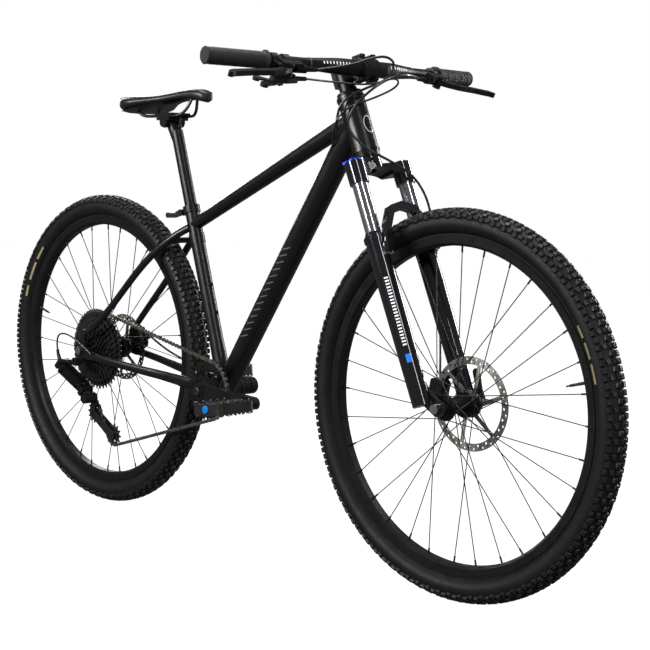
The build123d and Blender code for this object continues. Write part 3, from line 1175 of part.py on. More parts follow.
def jockey(centre, phase):
    """A small toothed wheel on a bushing."""
    toothed(centre, JOCKEY_TEETH, phase, 1.9, 0)
    ring_about(centre, 9.0, 0, centre.Y - 4.4, centre.Y + 4.4)
    with BuildSketch(across(centre + LATERAL * 2)) as holes:
        with PolarLocations(14.0, 6, start_angle=phase):
            Circle(3.0)
    extrude(holes.sketch, amount=4.0, mode=Mode.SUBTRACT)
    ring_about(centre, 2.5 + RUNNING, 0, centre.Y - 6, centre.Y + 6, mode=Mode.SUBTRACT)


with BuildPart() as jockey_upper:
    jockey(GUIDE, GUIDE_PHASE)
finish(jockey_upper.part, "jockey_upper")

with BuildPart() as jockey_lower:
    jockey(TENSION, TENSION_PHASE)
finish(jockey_lower.part, "jockey_lower")

# ---- Chain: real inner and outer links along the loop ----
PLATE, INNER_GAP = 0.8, 2.3
PIN_R = 1.75


def link_plate(face_z):
    """One figure-of-eight side plate."""
    with BuildSketch(Plane.XY.offset(face_z)) as side_plate:
        SlotCenterToCenter(PITCH, 7.6)
        with Locations((0, 6.1), (0, -6.1)):
            Circle(3.9, mode=Mode.SUBTRACT)
    extrude(side_plate.sketch, amount=PLATE)


with BuildPart() as inner_link:
    for face_z in (INNER_GAP / 2, -INNER_GAP / 2 - PLATE):
        link_plate(face_z)
    with BuildSketch(Plane.XY.offset(-INNER_GAP / 2 - 0.1)) as rollers:
        with GridLocations(PITCH, 0, 2, 1):
            Circle(ROLLER_R - 0.1)
    extrude(rollers.sketch, amount=INNER_GAP + 0.2)
    with BuildSketch(Plane.XY.offset(-4)) as holes:
        with GridLocations(PITCH, 0, 2, 1):
            Circle(PIN_R + 0.15)
    extrude(holes.sketch, amount=8.0, mode=Mode.SUBTRACT)

OUTER_FACE = INNER_GAP / 2 + PLATE + 0.1
with BuildPart() as outer_link:
    for face_z in (OUTER_FACE, -OUTER_FACE - PLATE):
        link_plate(face_z)
    with BuildSketch(Plane.XY.offset(-OUTER_FACE - PLATE - 0.2)) as pins:
        with GridLocations(PITCH, 0, 2, 1):
            Circle(PIN_R)
    extrude(pins.sketch, amount=2 * (OUTER_FACE + PLATE + 0.2))

inner_places, outer_places = [], []
for k in range(CHAIN_LINKS):
    here, there = path_point(CHAIN_LOOP, k * PITCH), path_point(CHAIN_LOOP, ((k + 1) % CHAIN_LINKS) * PITCH)
    run = (there - here).normalized()
    square = LATERAL - run * LATERAL.dot(run)
    place = Plane(origin=(here + there) / 2, x_dir=run, z_dir=square).location
    (outer_places if k % 2 else inner_places).append(place)

with BuildPart() as chain:
    with Locations(*inner_places):
        add(inner_link.part, clean=False)
    with Locations(*outer_places):
        add(outer_link.part, clean=False)
finish(chain.part, "chain")

# ---- Brake calipers ----
def caliper_shape(spot, ahead, along, rotor_y, reach_in, reach_out, screws):
    """A two-piston caliper straddling its rotor, with pads, banjo and two mounting screws."""
    body = Plane(origin=Vector(spot.X, 0, spot.Z), x_dir=ahead, z_dir=LATERAL)
    low, high = rotor_y - reach_in, rotor_y + reach_out
    with BuildSketch(body.offset(low)) as block:
        RectangleRounded(32.0, 46.0, 7.0)
    extrude(block.sketch, amount=high - low)
    for screw in screws:
        foot = spot + along * screw
        drum(Plane(origin=Vector(foot.X, high - 14.0, foot.Z), z_dir=LATERAL), 8.0, 14.0)
    rotor_gap = Vector(spot.X, rotor_y, spot.Z)
    with Locations(Plane(origin=rotor_gap, x_dir=ahead, z_dir=LATERAL)):
        Box(44.0, 90.0, 6.0, mode=Mode.SUBTRACT)
    for face in (-1, 1):
        pad = rotor_gap + LATERAL * face * 2.2
        with Locations(Plane(origin=pad, x_dir=ahead, z_dir=LATERAL)):
            Box(24.0, 26.0, 1.6)
    banjo = spot + along * 20.0
    pin_y(banjo, high, high + 5.0, 5.5)


FRONT_CALIPER = fork(46.0, -21.0)
front_down = Vector(FRONT_CALIPER.X - FRONT.X, 0, FRONT_CALIPER.Z - FRONT.Z).normalized()
with BuildPart() as front_caliper:
    front_across = LATERAL.cross(front_down)
    caliper_shape(FRONT_CALIPER, front_down, front_across, FRONT_ROTOR_Y, 11.0, 13.0, (-30.0, 30.0))
    for lift in (18.0, 66.0):
        rod(fork(lift, -14.0, FRONT_ROTOR_Y + 9.5), fork(lift + 2, LEG_AHEAD - 8.0, LEG_Y - 8.0), 6.0)
    rod(fork(0, LEG_AHEAD, LEG_Y), fork(120, LEG_AHEAD, LEG_Y), 19.0, mode=Mode.SUBTRACT)
finish(front_caliper.part, "front_caliper")

REAR_CALIPER = Vector(REAR.X + 63.0, 0, REAR.Z + 29.0)
rear_up = Vector(REAR_CALIPER.X - REAR.X, 0, REAR_CALIPER.Z - REAR.Z).normalized()
with BuildPart() as rear_caliper:
    caliper_shape(REAR_CALIPER, rear_up, LATERAL.cross(rear_up), REAR_ROTOR_Y, 13.0, 8.5, (-22.0,))
    bracket_top = Vector(REAR.X + 62.0, REAR_ROTOR_Y + 9.0, REAR.Z + 14.0)
    rod(bracket_top, Vector(REAR.X + 62.0, REAR_ROTOR_Y + 12.0, REAR.Z + 2.0), 5.5)
finish(rear_caliper.part, "rear_caliper")

# ---- Seatpost and saddle ----
POST_LOW, POST_HIGH = 242.0, 588.0
CRADLE = Vector(-304.0, 0, 905.0)
RAIL_Z, RAIL_Y, RAIL_R = 918.0, 22.0, 3.5
with BuildPart() as seatpost:
    rod(seat(POST_LOW), seat(POST_HIGH), SEATPOST_R)
    rod(seat(POST_LOW - 1), seat(POST_HIGH - 25), SEATPOST_R - 2.2, mode=Mode.SUBTRACT)
    rod(seat(POST_HIGH - 22), Vector(CRADLE.X + 3, 0, CRADLE.Z - 4), SEATPOST_R, 15.0)
    pin_y(CRADLE, -27.0, 27.0, 12.0)
    with Locations(CRADLE + Vector(0, 0, 8.0)):
        Box(44.0, 56.0, 9.0)
    for ahead in (-27.0, 27.0):
        rod(CRADLE + Vector(ahead * 0.3, 0, 2.0), CRADLE + Vector(ahead, 0, 4.0), 7.0)
    with Locations(Vector(CRADLE.X, 0, RAIL_Z + 4.0)):
        Box(62.0, 54.0, 6.0)
    for side in (-1, 1):
        rail_low = Vector(CRADLE.X - 60, side * RAIL_Y, RAIL_Z)
        rod(rail_low, rail_low + Vector(120, 0, 0), RAIL_R + 0.1, mode=Mode.SUBTRACT)
    for ahead in (-27.0, 27.0):
        rod(CRADLE + Vector(ahead, 0, -8.0), CRADLE + Vector(ahead, 0, 20.0), 2.5)
        rod(CRADLE + Vector(ahead, 0, -12.0), CRADLE + Vector(ahead, 0, -6.0), 4.5)
finish(seatpost.part, "seatpost")

SADDLE_HALF = [
    (-443.0, 0.0), (-440.0, 30.0), (-420.0, 64.0), (-388.0, 71.0),
    (-345.0, 52.0), (-290.0, 29.0), (-230.0, 21.0), (-186.0, 17.0), (-173.0, 0.0),
]
SADDLE_LOW, SADDLE_HIGH = 938.0, 972.0
with BuildPart() as saddle:
    with BuildSketch(Plane.XY.offset(SADDLE_LOW)) as seat_plan:
        with BuildLine():
            Spline(*SADDLE_HALF, tangents=((0, 1), (0, -1)))
            mirror(about=Plane.XZ)
        make_face()
    extrude(seat_plan.sketch, amount=SADDLE_HIGH - SADDLE_LOW)
    for side in (-1, 1):
        rail = [
            Vector(-410.0, side * 31.0, SADDLE_LOW + 6.0),
            Vector(-392.0, side * 26.0, 923.0),
            Vector(-370.0, side * RAIL_Y, RAIL_Z),
            Vector(-238.0, side * RAIL_Y, RAIL_Z),
            Vector(-220.0, side * 16.0, 924.0),
            Vector(-206.0, side * 8.0, SADDLE_LOW + 6.0),
        ]
        for here, there in zip(rail, rail[1:]):
            rod(here, there, RAIL_R)
        for corner in rail[1:-1]:
            with Locations(corner):
                Sphere(RAIL_R)
finish(saddle.part, "saddle")

# ---- Hoses and housing ----
REAR_HOSE = [
    control(-85.5, 27.0),
    Vector(331.0, -78.0, 1002.0),
    Vector(347.0, -18.0, 1030.0),
    Vector(350.0, 30.0, 1030.0),
    Vector(343.0, 56.0, 1006.0),
    Vector(326.0, 38.0, 975.0),
    Vector(296.0, -8.0, 960.0),
    Vector(268.0, -37.0, 934.0),
    Vector(258.0, -38.0, 902.0),
    Vector(250.0, -30.0, 872.0),
    Vector(240.0, -18.0, 850.0),
]
SHIFT_HOUSING = [
    control(POD_AT - 51.5, 19.0, -23.0),
    Vector(331.0, -84.0, 966.0),
    Vector(345.0, -10.0, 962.0),
    Vector(347.0, 52.0, 972.0),
    Vector(332.0, 66.0, 956.0),
    Vector(304.0, 16.0, 940.0),
    Vector(277.0, -38.0, 922.0),
    Vector(261.0, -45.0, 896.0),
    Vector(247.0, -38.0, 866.0),
    Vector(232.0, -20.0, 840.0),
]
FRONT_HOSE = [
    Vector(control(-84.0, 27.0).X, -control(-84.0, 27.0).Y, control(-84.0, 27.0).Z),
    Vector(348.0, 84.0, 990.0),
    Vector(364.0, 20.0, 986.0),
    Vector(353.0, -30.0, 963.0),
    Vector(314.0, -54.0, 920.0),
    Vector(302.0, -54.0, 880.0),
    fork(520.0, 32.0, -30.0),
    fork(492.0, 44.0, 14.0),
    fork(455.0, 52.0, 64.0),
    fork(400.0, 42.0, 93.0),
    fork(330.0, 22.0, 95.0),
    fork(220.0, 2.0, 90.0),
    fork(120.0, -19.0, 72.0),
    fork(80.0, -22.0, 58.0),
]
REAR_HOSE_LOW = [
    Vector(BRACKET.X - 150.0, 56.0, BRACKET.Z + 24.0),
    Vector(REAR.X + 190.0, 66.0, BRACKET.Z + 38.0),
    Vector(REAR.X + 120.0, 64.0, BRACKET.Z + 62.0),
    REAR_CALIPER + LATERAL * (REAR_ROTOR_Y + 16.0) + Vector(14.0, 0, 6.0),
]
DERAILLEUR_LOOP = [
    Vector(REAR.X + 44.0, -77.5, REAR.Z - 5.0),
    Vector(REAR.X + 2.0, -84.0, REAR.Z + 22.0),
    Vector(REAR.X - 36.0, -88.0, REAR.Z + 37.0),
    Vector(REAR.X - 68.0, -89.0, REAR.Z + 36.0),
    Vector(REAR.X - 84.0, -87.0, REAR.Z + 18.0),
    Vector(REAR.X - 81.5, -86.0, REAR.Z - 3.5),
]
BRAKE_HOSE_R, HOUSING_R = 2.5, 2.0

with BuildPart() as frame_cables:
    hose(REAR_HOSE, BRAKE_HOSE_R)
    hose(SHIFT_HOUSING, HOUSING_R)
    hose(REAR_HOSE_LOW, BRAKE_HOSE_R)
    hose(DERAILLEUR_LOOP, HOUSING_R)
finish(frame_cables.part, "frame_cables")

with BuildPart() as front_brake_hose:
    hose(FRONT_HOSE, BRAKE_HOSE_R)
finish(front_brake_hose.part, "front_brake_hose")
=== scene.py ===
"""Hardtail mountain bike: the looks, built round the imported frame.

Metres, +X forward, +Y the rider's left, +Z up, origin on the ground between the axles.
"""

import json
from math import cos, pi, radians, sin, tau

import bmesh
import bpy
from mathutils import Matrix, Vector


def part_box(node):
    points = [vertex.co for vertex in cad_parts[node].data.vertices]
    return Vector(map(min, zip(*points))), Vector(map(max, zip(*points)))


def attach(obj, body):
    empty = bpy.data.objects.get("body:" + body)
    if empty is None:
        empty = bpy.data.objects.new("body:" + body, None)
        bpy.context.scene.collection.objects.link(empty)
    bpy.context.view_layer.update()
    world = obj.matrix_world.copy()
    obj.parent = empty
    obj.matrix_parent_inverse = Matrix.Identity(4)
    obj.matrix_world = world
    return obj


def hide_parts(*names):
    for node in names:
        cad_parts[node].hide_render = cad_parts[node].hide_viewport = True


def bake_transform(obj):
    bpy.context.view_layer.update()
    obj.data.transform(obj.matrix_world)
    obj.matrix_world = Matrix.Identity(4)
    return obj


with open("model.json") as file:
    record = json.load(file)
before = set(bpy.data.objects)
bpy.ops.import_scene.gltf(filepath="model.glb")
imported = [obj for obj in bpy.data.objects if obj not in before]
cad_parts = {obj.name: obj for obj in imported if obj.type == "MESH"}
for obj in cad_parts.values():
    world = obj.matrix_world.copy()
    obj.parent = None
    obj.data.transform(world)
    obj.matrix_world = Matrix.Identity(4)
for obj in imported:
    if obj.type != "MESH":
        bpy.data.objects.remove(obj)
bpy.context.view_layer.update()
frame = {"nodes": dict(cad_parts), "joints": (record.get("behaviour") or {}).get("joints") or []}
NODES = frame["nodes"]
JOINTS = {joint["name"]: joint for joint in frame["joints"]}
LATERAL = Vector((0, 1, 0))
FRONT = Vector(JOINTS["front_wheel_spin"]["pos_m"])
REAR = Vector(JOINTS["rear_wheel_spin"]["pos_m"])
BRACKET = Vector(JOINTS["crank_spin"]["pos_m"])
FORK_UP = Vector(JOINTS["steering"]["axis"]).normalized()
FORK_AHEAD = Vector((FORK_UP.z, 0, -FORK_UP.x))
FORK_FOOT = FRONT - FORK_AHEAD * 0.046


def fork(up, ahead=0.0, y=0.0):
    """A point in the fork's frame: up the steering axis from its foot, and ahead of it."""
    return FORK_FOOT + FORK_UP * up + FORK_AHEAD * ahead + LATERAL * y


# ---- Camera, light and floor ----
CAMERA_PLACE = (2.2484, -2.0135, 0.7896)
CAMERA_YAW, CAMERA_PITCH, CAMERA_ROLL = radians(135.519), radians(-5.673), radians(0.989)
CAMERA_SENSOR, CAMERA_LENS = 36.0, 78.94
CAMERA_SHIFT = (-0.0007, -0.0108)
CAMERA_CLIP = (0.05, 60.0)
SHOWN_STRENGTH, LIT_STRENGTH = 1.0, 0.13
FLOOR_RADIUS, FLOOR_DROP, FLOOR_GLOW = 14.0, 0.0005, 0.98


def stage_scene():
    """The camera, soft studio light and a pale floor."""
    place_camera()
    light_world()
    softbox("key", (2.4, -1.7, 2.9), (0, 0, 0.5), 1.3, 1.0, 120, mirrored=False)
    softbox("strip", (2.9, -0.7, 1.9), (0.3, 0, 0.5), 0.18, 2.2, 22)
    softbox("side", (-0.9, -3.0, 1.7), (0, 0, 0.5), 2.4, 0.30, 105)
    softbox("left", (0.5, 3.3, 1.2), (0, 0, 0.5), 0.4, 2.2, 60)
    softbox("top", (-0.2, 0.3, 3.6), (0, 0, 0.4), 2.6, 0.9, 75)
    softbox("back", (-3.0, 1.4, 1.9), (0, 0, 0.5), 1.2, 1.8, 50)
    lay_floor()


def place_camera():
    """The camera at the photograph's viewing angle, levelled and then rolled."""
    level = cos(CAMERA_PITCH)
    ahead = Vector((level * cos(CAMERA_YAW), level * sin(CAMERA_YAW), sin(CAMERA_PITCH)))
    right = ahead.cross(Vector((0, 0, 1))).normalized()
    up = right.cross(ahead)
    rolled_right = right * cos(CAMERA_ROLL) + up * sin(CAMERA_ROLL)
    rolled_up = up * cos(CAMERA_ROLL) - right * sin(CAMERA_ROLL)
    data = bpy.data.cameras.new("camera")
    data.sensor_width, data.lens = CAMERA_SENSOR, CAMERA_LENS
    data.shift_x, data.shift_y = CAMERA_SHIFT
    data.clip_start, data.clip_end = CAMERA_CLIP
    camera = bpy.data.objects.new("camera", data)
    turn = Matrix((rolled_right, rolled_up, -ahead)).transposed()
    camera.matrix_world = Matrix.Translation(CAMERA_PLACE) @ turn.to_4x4()
    bpy.context.scene.collection.objects.link(camera)
    bpy.context.scene.camera = camera


def light_world():
    """White behind the bike as the camera sees it, and a dim even light on everything."""
    world = bpy.data.worlds.new("studio")
    world.use_nodes = True
    tree = world.node_tree
    shown, lit = tree.nodes["Background"], tree.nodes.new("ShaderNodeBackground")
    shown.inputs["Color"].default_value = (1.0, 1.0, 1.0, 1)
    shown.inputs["Strength"].default_value = SHOWN_STRENGTH
    lit.inputs["Color"].default_value = (0.95, 0.97, 1.0, 1)
    lit.inputs["Strength"].default_value = LIT_STRENGTH
    either, path = tree.nodes.new("ShaderNodeMixShader"), tree.nodes.new("ShaderNodeLightPath")
    tree.links.new(path.outputs["Is Camera Ray"], either.inputs["Fac"])
    tree.links.new(lit.outputs["Background"], either.inputs[1])
    tree.links.new(shown.outputs["Background"], either.inputs[2])
    tree.links.new(either.outputs["Shader"], tree.nodes["World Output"].inputs["Surface"])
    bpy.context.scene.world = world
    bpy.context.scene.view_settings.view_transform = "Standard"


def lay_floor():
    """A pale glowing floor that neither lights the bike nor shows in its reflections."""
    bm = bmesh.new()
    bmesh.ops.create_circle(bm, cap_ends=True, radius=FLOOR_RADIUS, segments=64)
    pale = material("pale_floor", (0.12, 0.12, 0.12), 0.8, vary=0.02, shine=0.0)
    sockets = pale.node_tree.nodes["Principled BSDF"].inputs
    sockets["Emission Color"].default_value = (1, 1, 1, 1)
    sockets["Emission Strength"].default_value = FLOOR_GLOW
    floor = new_object("studio_floor", bm, [pale])
    floor.location.z = -FLOOR_DROP
    floor.visible_glossy = False
    floor.visible_diffuse = False


def softbox(name, place, aim, width, height, watts, mirrored=True):
    """A rectangular area light aimed at a point; one not mirrored leaves no highlight."""
    data = bpy.data.lights.new(name, "AREA")
    data.shape = "RECTANGLE"
    data.size, data.size_y = width, height
    data.energy = watts
    lamp = bpy.data.objects.new(name, data)
    lamp.location = place
    lamp.visible_glossy = mirrored
    lamp.rotation_euler = (Vector(aim) - Vector(place)).to_track_quat("-Z", "Y").to_euler()
    bpy.context.scene.collection.objects.link(lamp)


# ---- Materials ----
NOISE_LOW, NOISE_HIGH = 0.3, 0.7
ROUGH_VARY, ROUGH_MOTTLE = 0.15, 3.1


def material(name, color, roughness, metallic=0.0, vary=0.25, grain=None, lift=0.0, coat=0.0, coat_rough=0.1,
             mottle=18.0, cells=False, sheen=0.0, lines=None, shine=0.5):
    """A surface with cloudy colour and roughness, and a fine grain, cells or turned lines as its bump."""
    made = bpy.data.materials.new(name)
    made.use_nodes = True
    tree = made.node_tree
    shader = tree.nodes["Principled BSDF"]
    shader.inputs["Metallic"].default_value = metallic
    shader.inputs["Specular IOR Level"].default_value = shine
    shader.inputs["Coat Weight"].default_value = coat
    shader.inputs["Coat Roughness"].default_value = coat_rough
    shader.inputs["Sheen Weight"].default_value = sheen
    place = tree.nodes.new("ShaderNodeTexCoord").outputs["Object"]

    def noise(scale, detail):
        cloud = tree.nodes.new("ShaderNodeTexNoise")
        cloud.inputs["Scale"].default_value = scale
        cloud.inputs["Detail"].default_value = detail
        tree.links.new(place, cloud.inputs["Vector"])
        return cloud.outputs["Fac"]

    def spread(source, low, high):
        ramp = tree.nodes.new("ShaderNodeMapRange")
        ramp.inputs["From Min"].default_value = NOISE_LOW
        ramp.inputs["From Max"].default_value = NOISE_HIGH
        ramp.inputs["To Min"].default_value = low
        ramp.inputs["To Max"].default_value = high
        tree.links.new(source, ramp.inputs["Value"])
        return ramp.outputs["Result"]

    mix = tree.nodes.new("ShaderNodeMix")
    mix.data_type = "RGBA"
    mix.inputs["A"].default_value = (*[c * (1 - vary) for c in color], 1)
    mix.inputs["B"].default_value = (*[min(1.0, c * (1 + vary)) for c in color], 1)
    tree.links.new(spread(noise(mottle, 6.0), 0.0, 1.0), mix.inputs["Factor"])
    tree.links.new(mix.outputs["Result"], shader.inputs["Base Color"])
    rough = spread(noise(mottle * ROUGH_MOTTLE, 5.0), roughness * (1 - ROUGH_VARY),
                   min(1.0, roughness * (1 + ROUGH_VARY)))
    tree.links.new(rough, shader.inputs["Roughness"])
    if grain:
        bump = tree.nodes.new("ShaderNodeBump")
        bump.inputs["Distance"].default_value = lift
        bump.inputs["Strength"].default_value = 1.0
        if lines:
            wave = tree.nodes.new("ShaderNodeTexWave")
            wave.wave_type = "RINGS"
            wave.rings_direction = "Y"
            wave.inputs["Scale"].default_value = grain
            shift = tree.nodes.new("ShaderNodeMapping")
            shift.inputs["Location"].default_value = (-lines[0], 0, -lines[2])
            tree.links.new(place, shift.inputs["Vector"])
            tree.links.new(shift.outputs["Vector"], wave.inputs["Vector"])
            height = wave.outputs["Fac"]
        elif cells:
            cell = tree.nodes.new("ShaderNodeTexVoronoi")
            cell.inputs["Scale"].default_value = grain
            tree.links.new(place, cell.inputs["Vector"])
            height = cell.outputs["Distance"]
        else:
            height = noise(grain, 3.0)
        tree.links.new(height, bump.inputs["Height"])
        tree.links.new(bump.outputs["Normal"], shader.inputs["Normal"])
    return made


def coat_node(node, made):
    """Gives a CAD node its material."""
    data = NODES[node].data
    data.materials.clear()
    data.materials.append(made)


# ---- Mesh helpers ----
def new_object(name, bm, materials, smooth=None):
    """An object from a bmesh; faces meeting below the smooth angle are shaded as one."""
    mesh = bpy.data.meshes.new(name)
    bmesh.ops.recalc_face_normals(bm, faces=bm.faces)
    bm.to_mesh(mesh)
    bm.free()
    for made in materials:
        mesh.materials.append(made)
    if smooth is not None:
        mesh.polygons.foreach_set("use_smooth", [True] * len(mesh.polygons))
        mesh.set_sharp_from_angle(angle=radians(smooth))
    made_object = bpy.data.objects.new(name, mesh)
    bpy.context.scene.collection.objects.link(made_object)
    return made_object


def skin_rings(bm, rings, closed_loop=False, slot=0):
    """Joins rings of points, all the same length, into a closed surface with capped ends or none."""
    rows = [[bm.verts.new(p) for p in ring] for ring in rings]
    count = len(rows[0])
    pairs = list(zip(rows, rows[1:]))
    if closed_loop:
        pairs.append((rows[-1], rows[0]))
    for near, far in pairs:
        for k in range(count):
            face = bm.faces.new((near[k], near[(k + 1) % count], far[(k + 1) % count], far[k]))
            face.material_index = slot
    if not closed_loop:
        bm.faces.new(rows[0][::-1]).material_index = slot
        bm.faces.new(rows[-1]).material_index = slot


def axes_for(direction):
    """Two directions square to one."""
    direction = direction.normalized()
    guide = Vector((0, 0, 1)) if abs(direction.z) < 0.9 else Vector((1, 0, 0))
    first = direction.cross(guide).normalized()
    return first, direction.cross(first)


def circle(centre, first, second, radius, count):
    """Points evenly round a centre, in the plane of two directions."""
    return [centre + (first * cos(tau * k / count) + second * sin(tau * k / count)) * radius
            for k in range(count)]


def lathe(bm, start, direction, profile, segments):
    """Turns (distance, radius) pairs about a line."""
    direction = Vector(direction).normalized()
    first, second = axes_for(direction)
    skin_rings(bm, [circle(start + direction * along, first, second, radius, segments)
                    for along, radius in profile])


BOLT_HEAD = ((0, 1.0), (0.55, 1.0), (0.85, 0.86), (1.0, 0.62))
BOLT_AROUND = 12
SOCKET_SIZE, SOCKET_FLOOR = 0.48, 0.35


def socket_bolt(bm, place, direction, radius, height):
    """A button-headed bolt with a six-sided socket."""
    first, second = axes_for(direction)
    rings = [circle(place + direction * (height * rise), first, second, radius * size, BOLT_AROUND)
             for rise, size in BOLT_HEAD]
    for along in (height, height * SOCKET_FLOOR):
        ring = []
        for k in range(BOLT_AROUND):
            angle = tau * k / BOLT_AROUND
            size = radius * SOCKET_SIZE * (1.0 if k % 2 == 0 else cos(pi / 6))
            ring.append(place + direction * along + (first * cos(angle) + second * sin(angle)) * size)
        rings.append(ring)
    skin_rings(bm, rings)


def tube_mesh(bm, line, radius, segments=14):
    """A round tube along a line of points, with no twist."""
    tangents = [(b - a).normalized() for a, b in zip(line, line[1:])]
    tangents.append(tangents[-1])
    side = axes_for(tangents[0])[0]
    rings = []
    for k, (point, tangent) in enumerate(zip(line, tangents)):
        if 0 < k < len(line) - 1:
            tangent = (tangents[k - 1] + tangents[k]).normalized()
        side = (side - tangent * side.dot(tangent)).normalized()
        rings.append(circle(point, side, tangent.cross(side), radius, segments))
    skin_rings(bm, rings)


def smooth_line(points):
    """The points of a NURBS line whose control points are the route's."""
    curve = bpy.data.curves.new("route", "CURVE")
    curve.dimensions = "3D"
    spline = curve.splines.new("NURBS")
    spline.points.add(len(points) - 1)
    for knot, point in zip(spline.points, points):
        knot.co = (*point, 1.0)
    spline.order_u = 3
    spline.use_endpoint_u = True
    spline.resolution_u = 12
    holder = bpy.data.objects.new("route", curve)
    bpy.context.scene.collection.objects.link(holder)
    bpy.context.view_layer.update()
    mesh = bpy.data.meshes.new_from_object(holder)
    line = [v.co.copy() for v in mesh.vertices]
    bpy.data.objects.remove(holder)
    return line


# ---- Tyres ----
CASING_R, CASING_TALL, CASING_WIDE = 0.341, 0.0232, 0.0258
CASING_STEPS, CASING_SWEEP = 36, 152
BEAD = [(0.3165, 0.0117), (0.3185, 0.0122)]
RIB_STATIONS, RIB_WIDER = (6, 8, 33, 35), 1.012
INNER_SCALE = 0.88
TYRE_STEPS, KNOB_ROWS = 168, 84
KNOB_SHAPE = ((0.0, 1.12), (0.82, 1.0), (1.0, 0.84))
KNOBS = (
    # half a row on, lean in degrees, length, width, height, skew
    (False, 15, 0.0090, 0.0076, 0.0044, 0.25),
    (True, 9, 0.0078, 0.0058, 0.0043, 0.0),
    (True, 36, 0.0088, 0.0070, 0.0044, -0.3),
    (False, 57, 0.0098, 0.0080, 0.0050, 0.0),
    (True, 63, 0.0088, 0.0074, 0.0046, 0.0),
)
DASH_LEANS, DASH_PROUD, DASH_STEPS = (108, 120), 0.0007, 6


def casing_point(centre, turn, lean, lift=0.0):
    """A point on the casing, and the direction square to it there."""
    outward = Vector((cos(turn), 0, sin(turn)))
    square = (outward * (cos(lean) / CASING_TALL) + LATERAL * (sin(lean) / CASING_WIDE)).normalized()
    point = centre + outward * (CASING_R + CASING_TALL * cos(lean)) + LATERAL * (CASING_WIDE * sin(lean))
    return point + square * lift, square


def knob(bm, centre, turn, lean, long, wide, tall, skew):
    """A rubber block: a slightly tapered box with a chamfered top."""
    base, square = casing_point(centre, turn, lean)
    along = Vector((-sin(turn), 0, cos(turn)))
    cross = square.cross(along).normalized()
    along, cross = along * cos(skew) + cross * sin(skew), cross * cos(skew) - along * sin(skew)
    rings = []
    for rise, shrink in KNOB_SHAPE:
        centre_up = base + square * (tall * rise)
        rings.append([centre_up + along * (long / 2 * a * shrink) + cross * (wide / 2 * c * shrink)
                      for a, c in ((-1, -1), (0, -1), (1, -1), (1, 1), (0, 1), (-1, 1))])
    skin_rings(bm, rings, slot=1)


def tyre_section():
    """The closed (radius, y) outline of the tyre: its ribbed outside, then its inside."""
    leans = [radians(-CASING_SWEEP + 2 * CASING_SWEEP * k / CASING_STEPS) for k in range(CASING_STEPS + 1)]
    outside = [(radius, -y) for radius, y in BEAD]
    outside += [(CASING_R + CASING_TALL * cos(lean), CASING_WIDE * sin(lean)) for lean in leans]
    outside += BEAD[::-1]
    ribbed = [(radius, y * (RIB_WIDER if index in RIB_STATIONS else 1.0))
              for index, (radius, y) in enumerate(outside)]
    inside = [(CASING_R + (radius - CASING_R) * INNER_SCALE, y * INNER_SCALE) for radius, y in outside[::-1]]
    return ribbed + inside


def build_tyre(side, centre, body):
    """A casing with ribbed side walls and its rows of knobs."""
    section = tyre_section()
    bm = bmesh.new()
    rings = []
    for k in range(TYRE_STEPS):
        turn = tau * k / TYRE_STEPS
        outward = Vector((cos(turn), 0, sin(turn)))
        rings.append([centre + outward * radius + LATERAL * y for radius, y in section])
    skin_rings(bm, rings, closed_loop=True)
    for row in range(KNOB_ROWS):
        turn = tau * row / KNOB_ROWS
        for way in (-1, 1):
            for half_on, lean, long, wide, tall, skew in KNOBS:
                at = turn + pi / KNOB_ROWS if half_on else turn
                knob(bm, centre, at, way * radians(lean), long, wide, tall, way * skew)
    # The knobs take the tread rubber, whose lighter colour is a painted highlight over the casing's black.
    tyre = new_object(f"{side}_tyre_tread", bm, [MATERIALS["tyre"], MATERIALS["tread"]], smooth=35)
    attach(tyre, body)
    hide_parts(f"{side}_tyre")


def sidewall_marks(side, centre, body, angles):
    """Plain dull-gold dashes on the side wall, each a (middle, length) in degrees."""
    low, high = DASH_LEANS
    edges = ((low, 0.0), (low, DASH_PROUD), (high, DASH_PROUD), (high, 0.0))
    bm = bmesh.new()
    for way in (-1, 1):
        for middle, length in angles:
            turn_from, turn_to = radians(middle - length / 2), radians(middle + length / 2)
            rings = []
            for k in range(DASH_STEPS + 1):
                turn = turn_from + (turn_to - turn_from) * k / DASH_STEPS
                rings.append([casing_point(centre, turn, way * radians(lean), lift)[0]
                              for lean, lift in edges])
            skin_rings(bm, rings)
    marks = new_object(f"{side}_sidewall_marks", bm, [MATERIALS["dull_gold"]], smooth=30)
    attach(marks, body)


# ---- Grips ----
GRIP_START_X, GRIP_START_Y, GRIP_START_Z = 0.267876, 0.234573, 1.00066
GRIP_LENGTH, GRIP_R = 0.1312, 0.0154
GRIP_AROUND, GRIP_ROWS = 60, 88
FLANGE_TO, FLANGE_R = 0.004, 0.0192
COLLAR_TO, COLLAR_R = 0.007, 0.0163
CAP_LONG, CAP_R = 0.0035, 0.0164
CAP_EDGE_LONG, CAP_EDGE_R = 0.0008, 0.0148
WAFFLE_FROM, WAFFLE_SHORT = 0.012, 0.009
WAFFLE_ROUND, WAFFLE_ALONG, WAFFLE_CUT = 10, 620, -0.1
WAFFLE_HIGH, WAFFLE_LOW = 0.0006, -0.0004


def bar_outward(side):
    """The direction in which one side of the handlebar runs out, swept back and slightly up."""
    return Vector((-0.15815, side * 0.98736, 0.010472)).normalized()


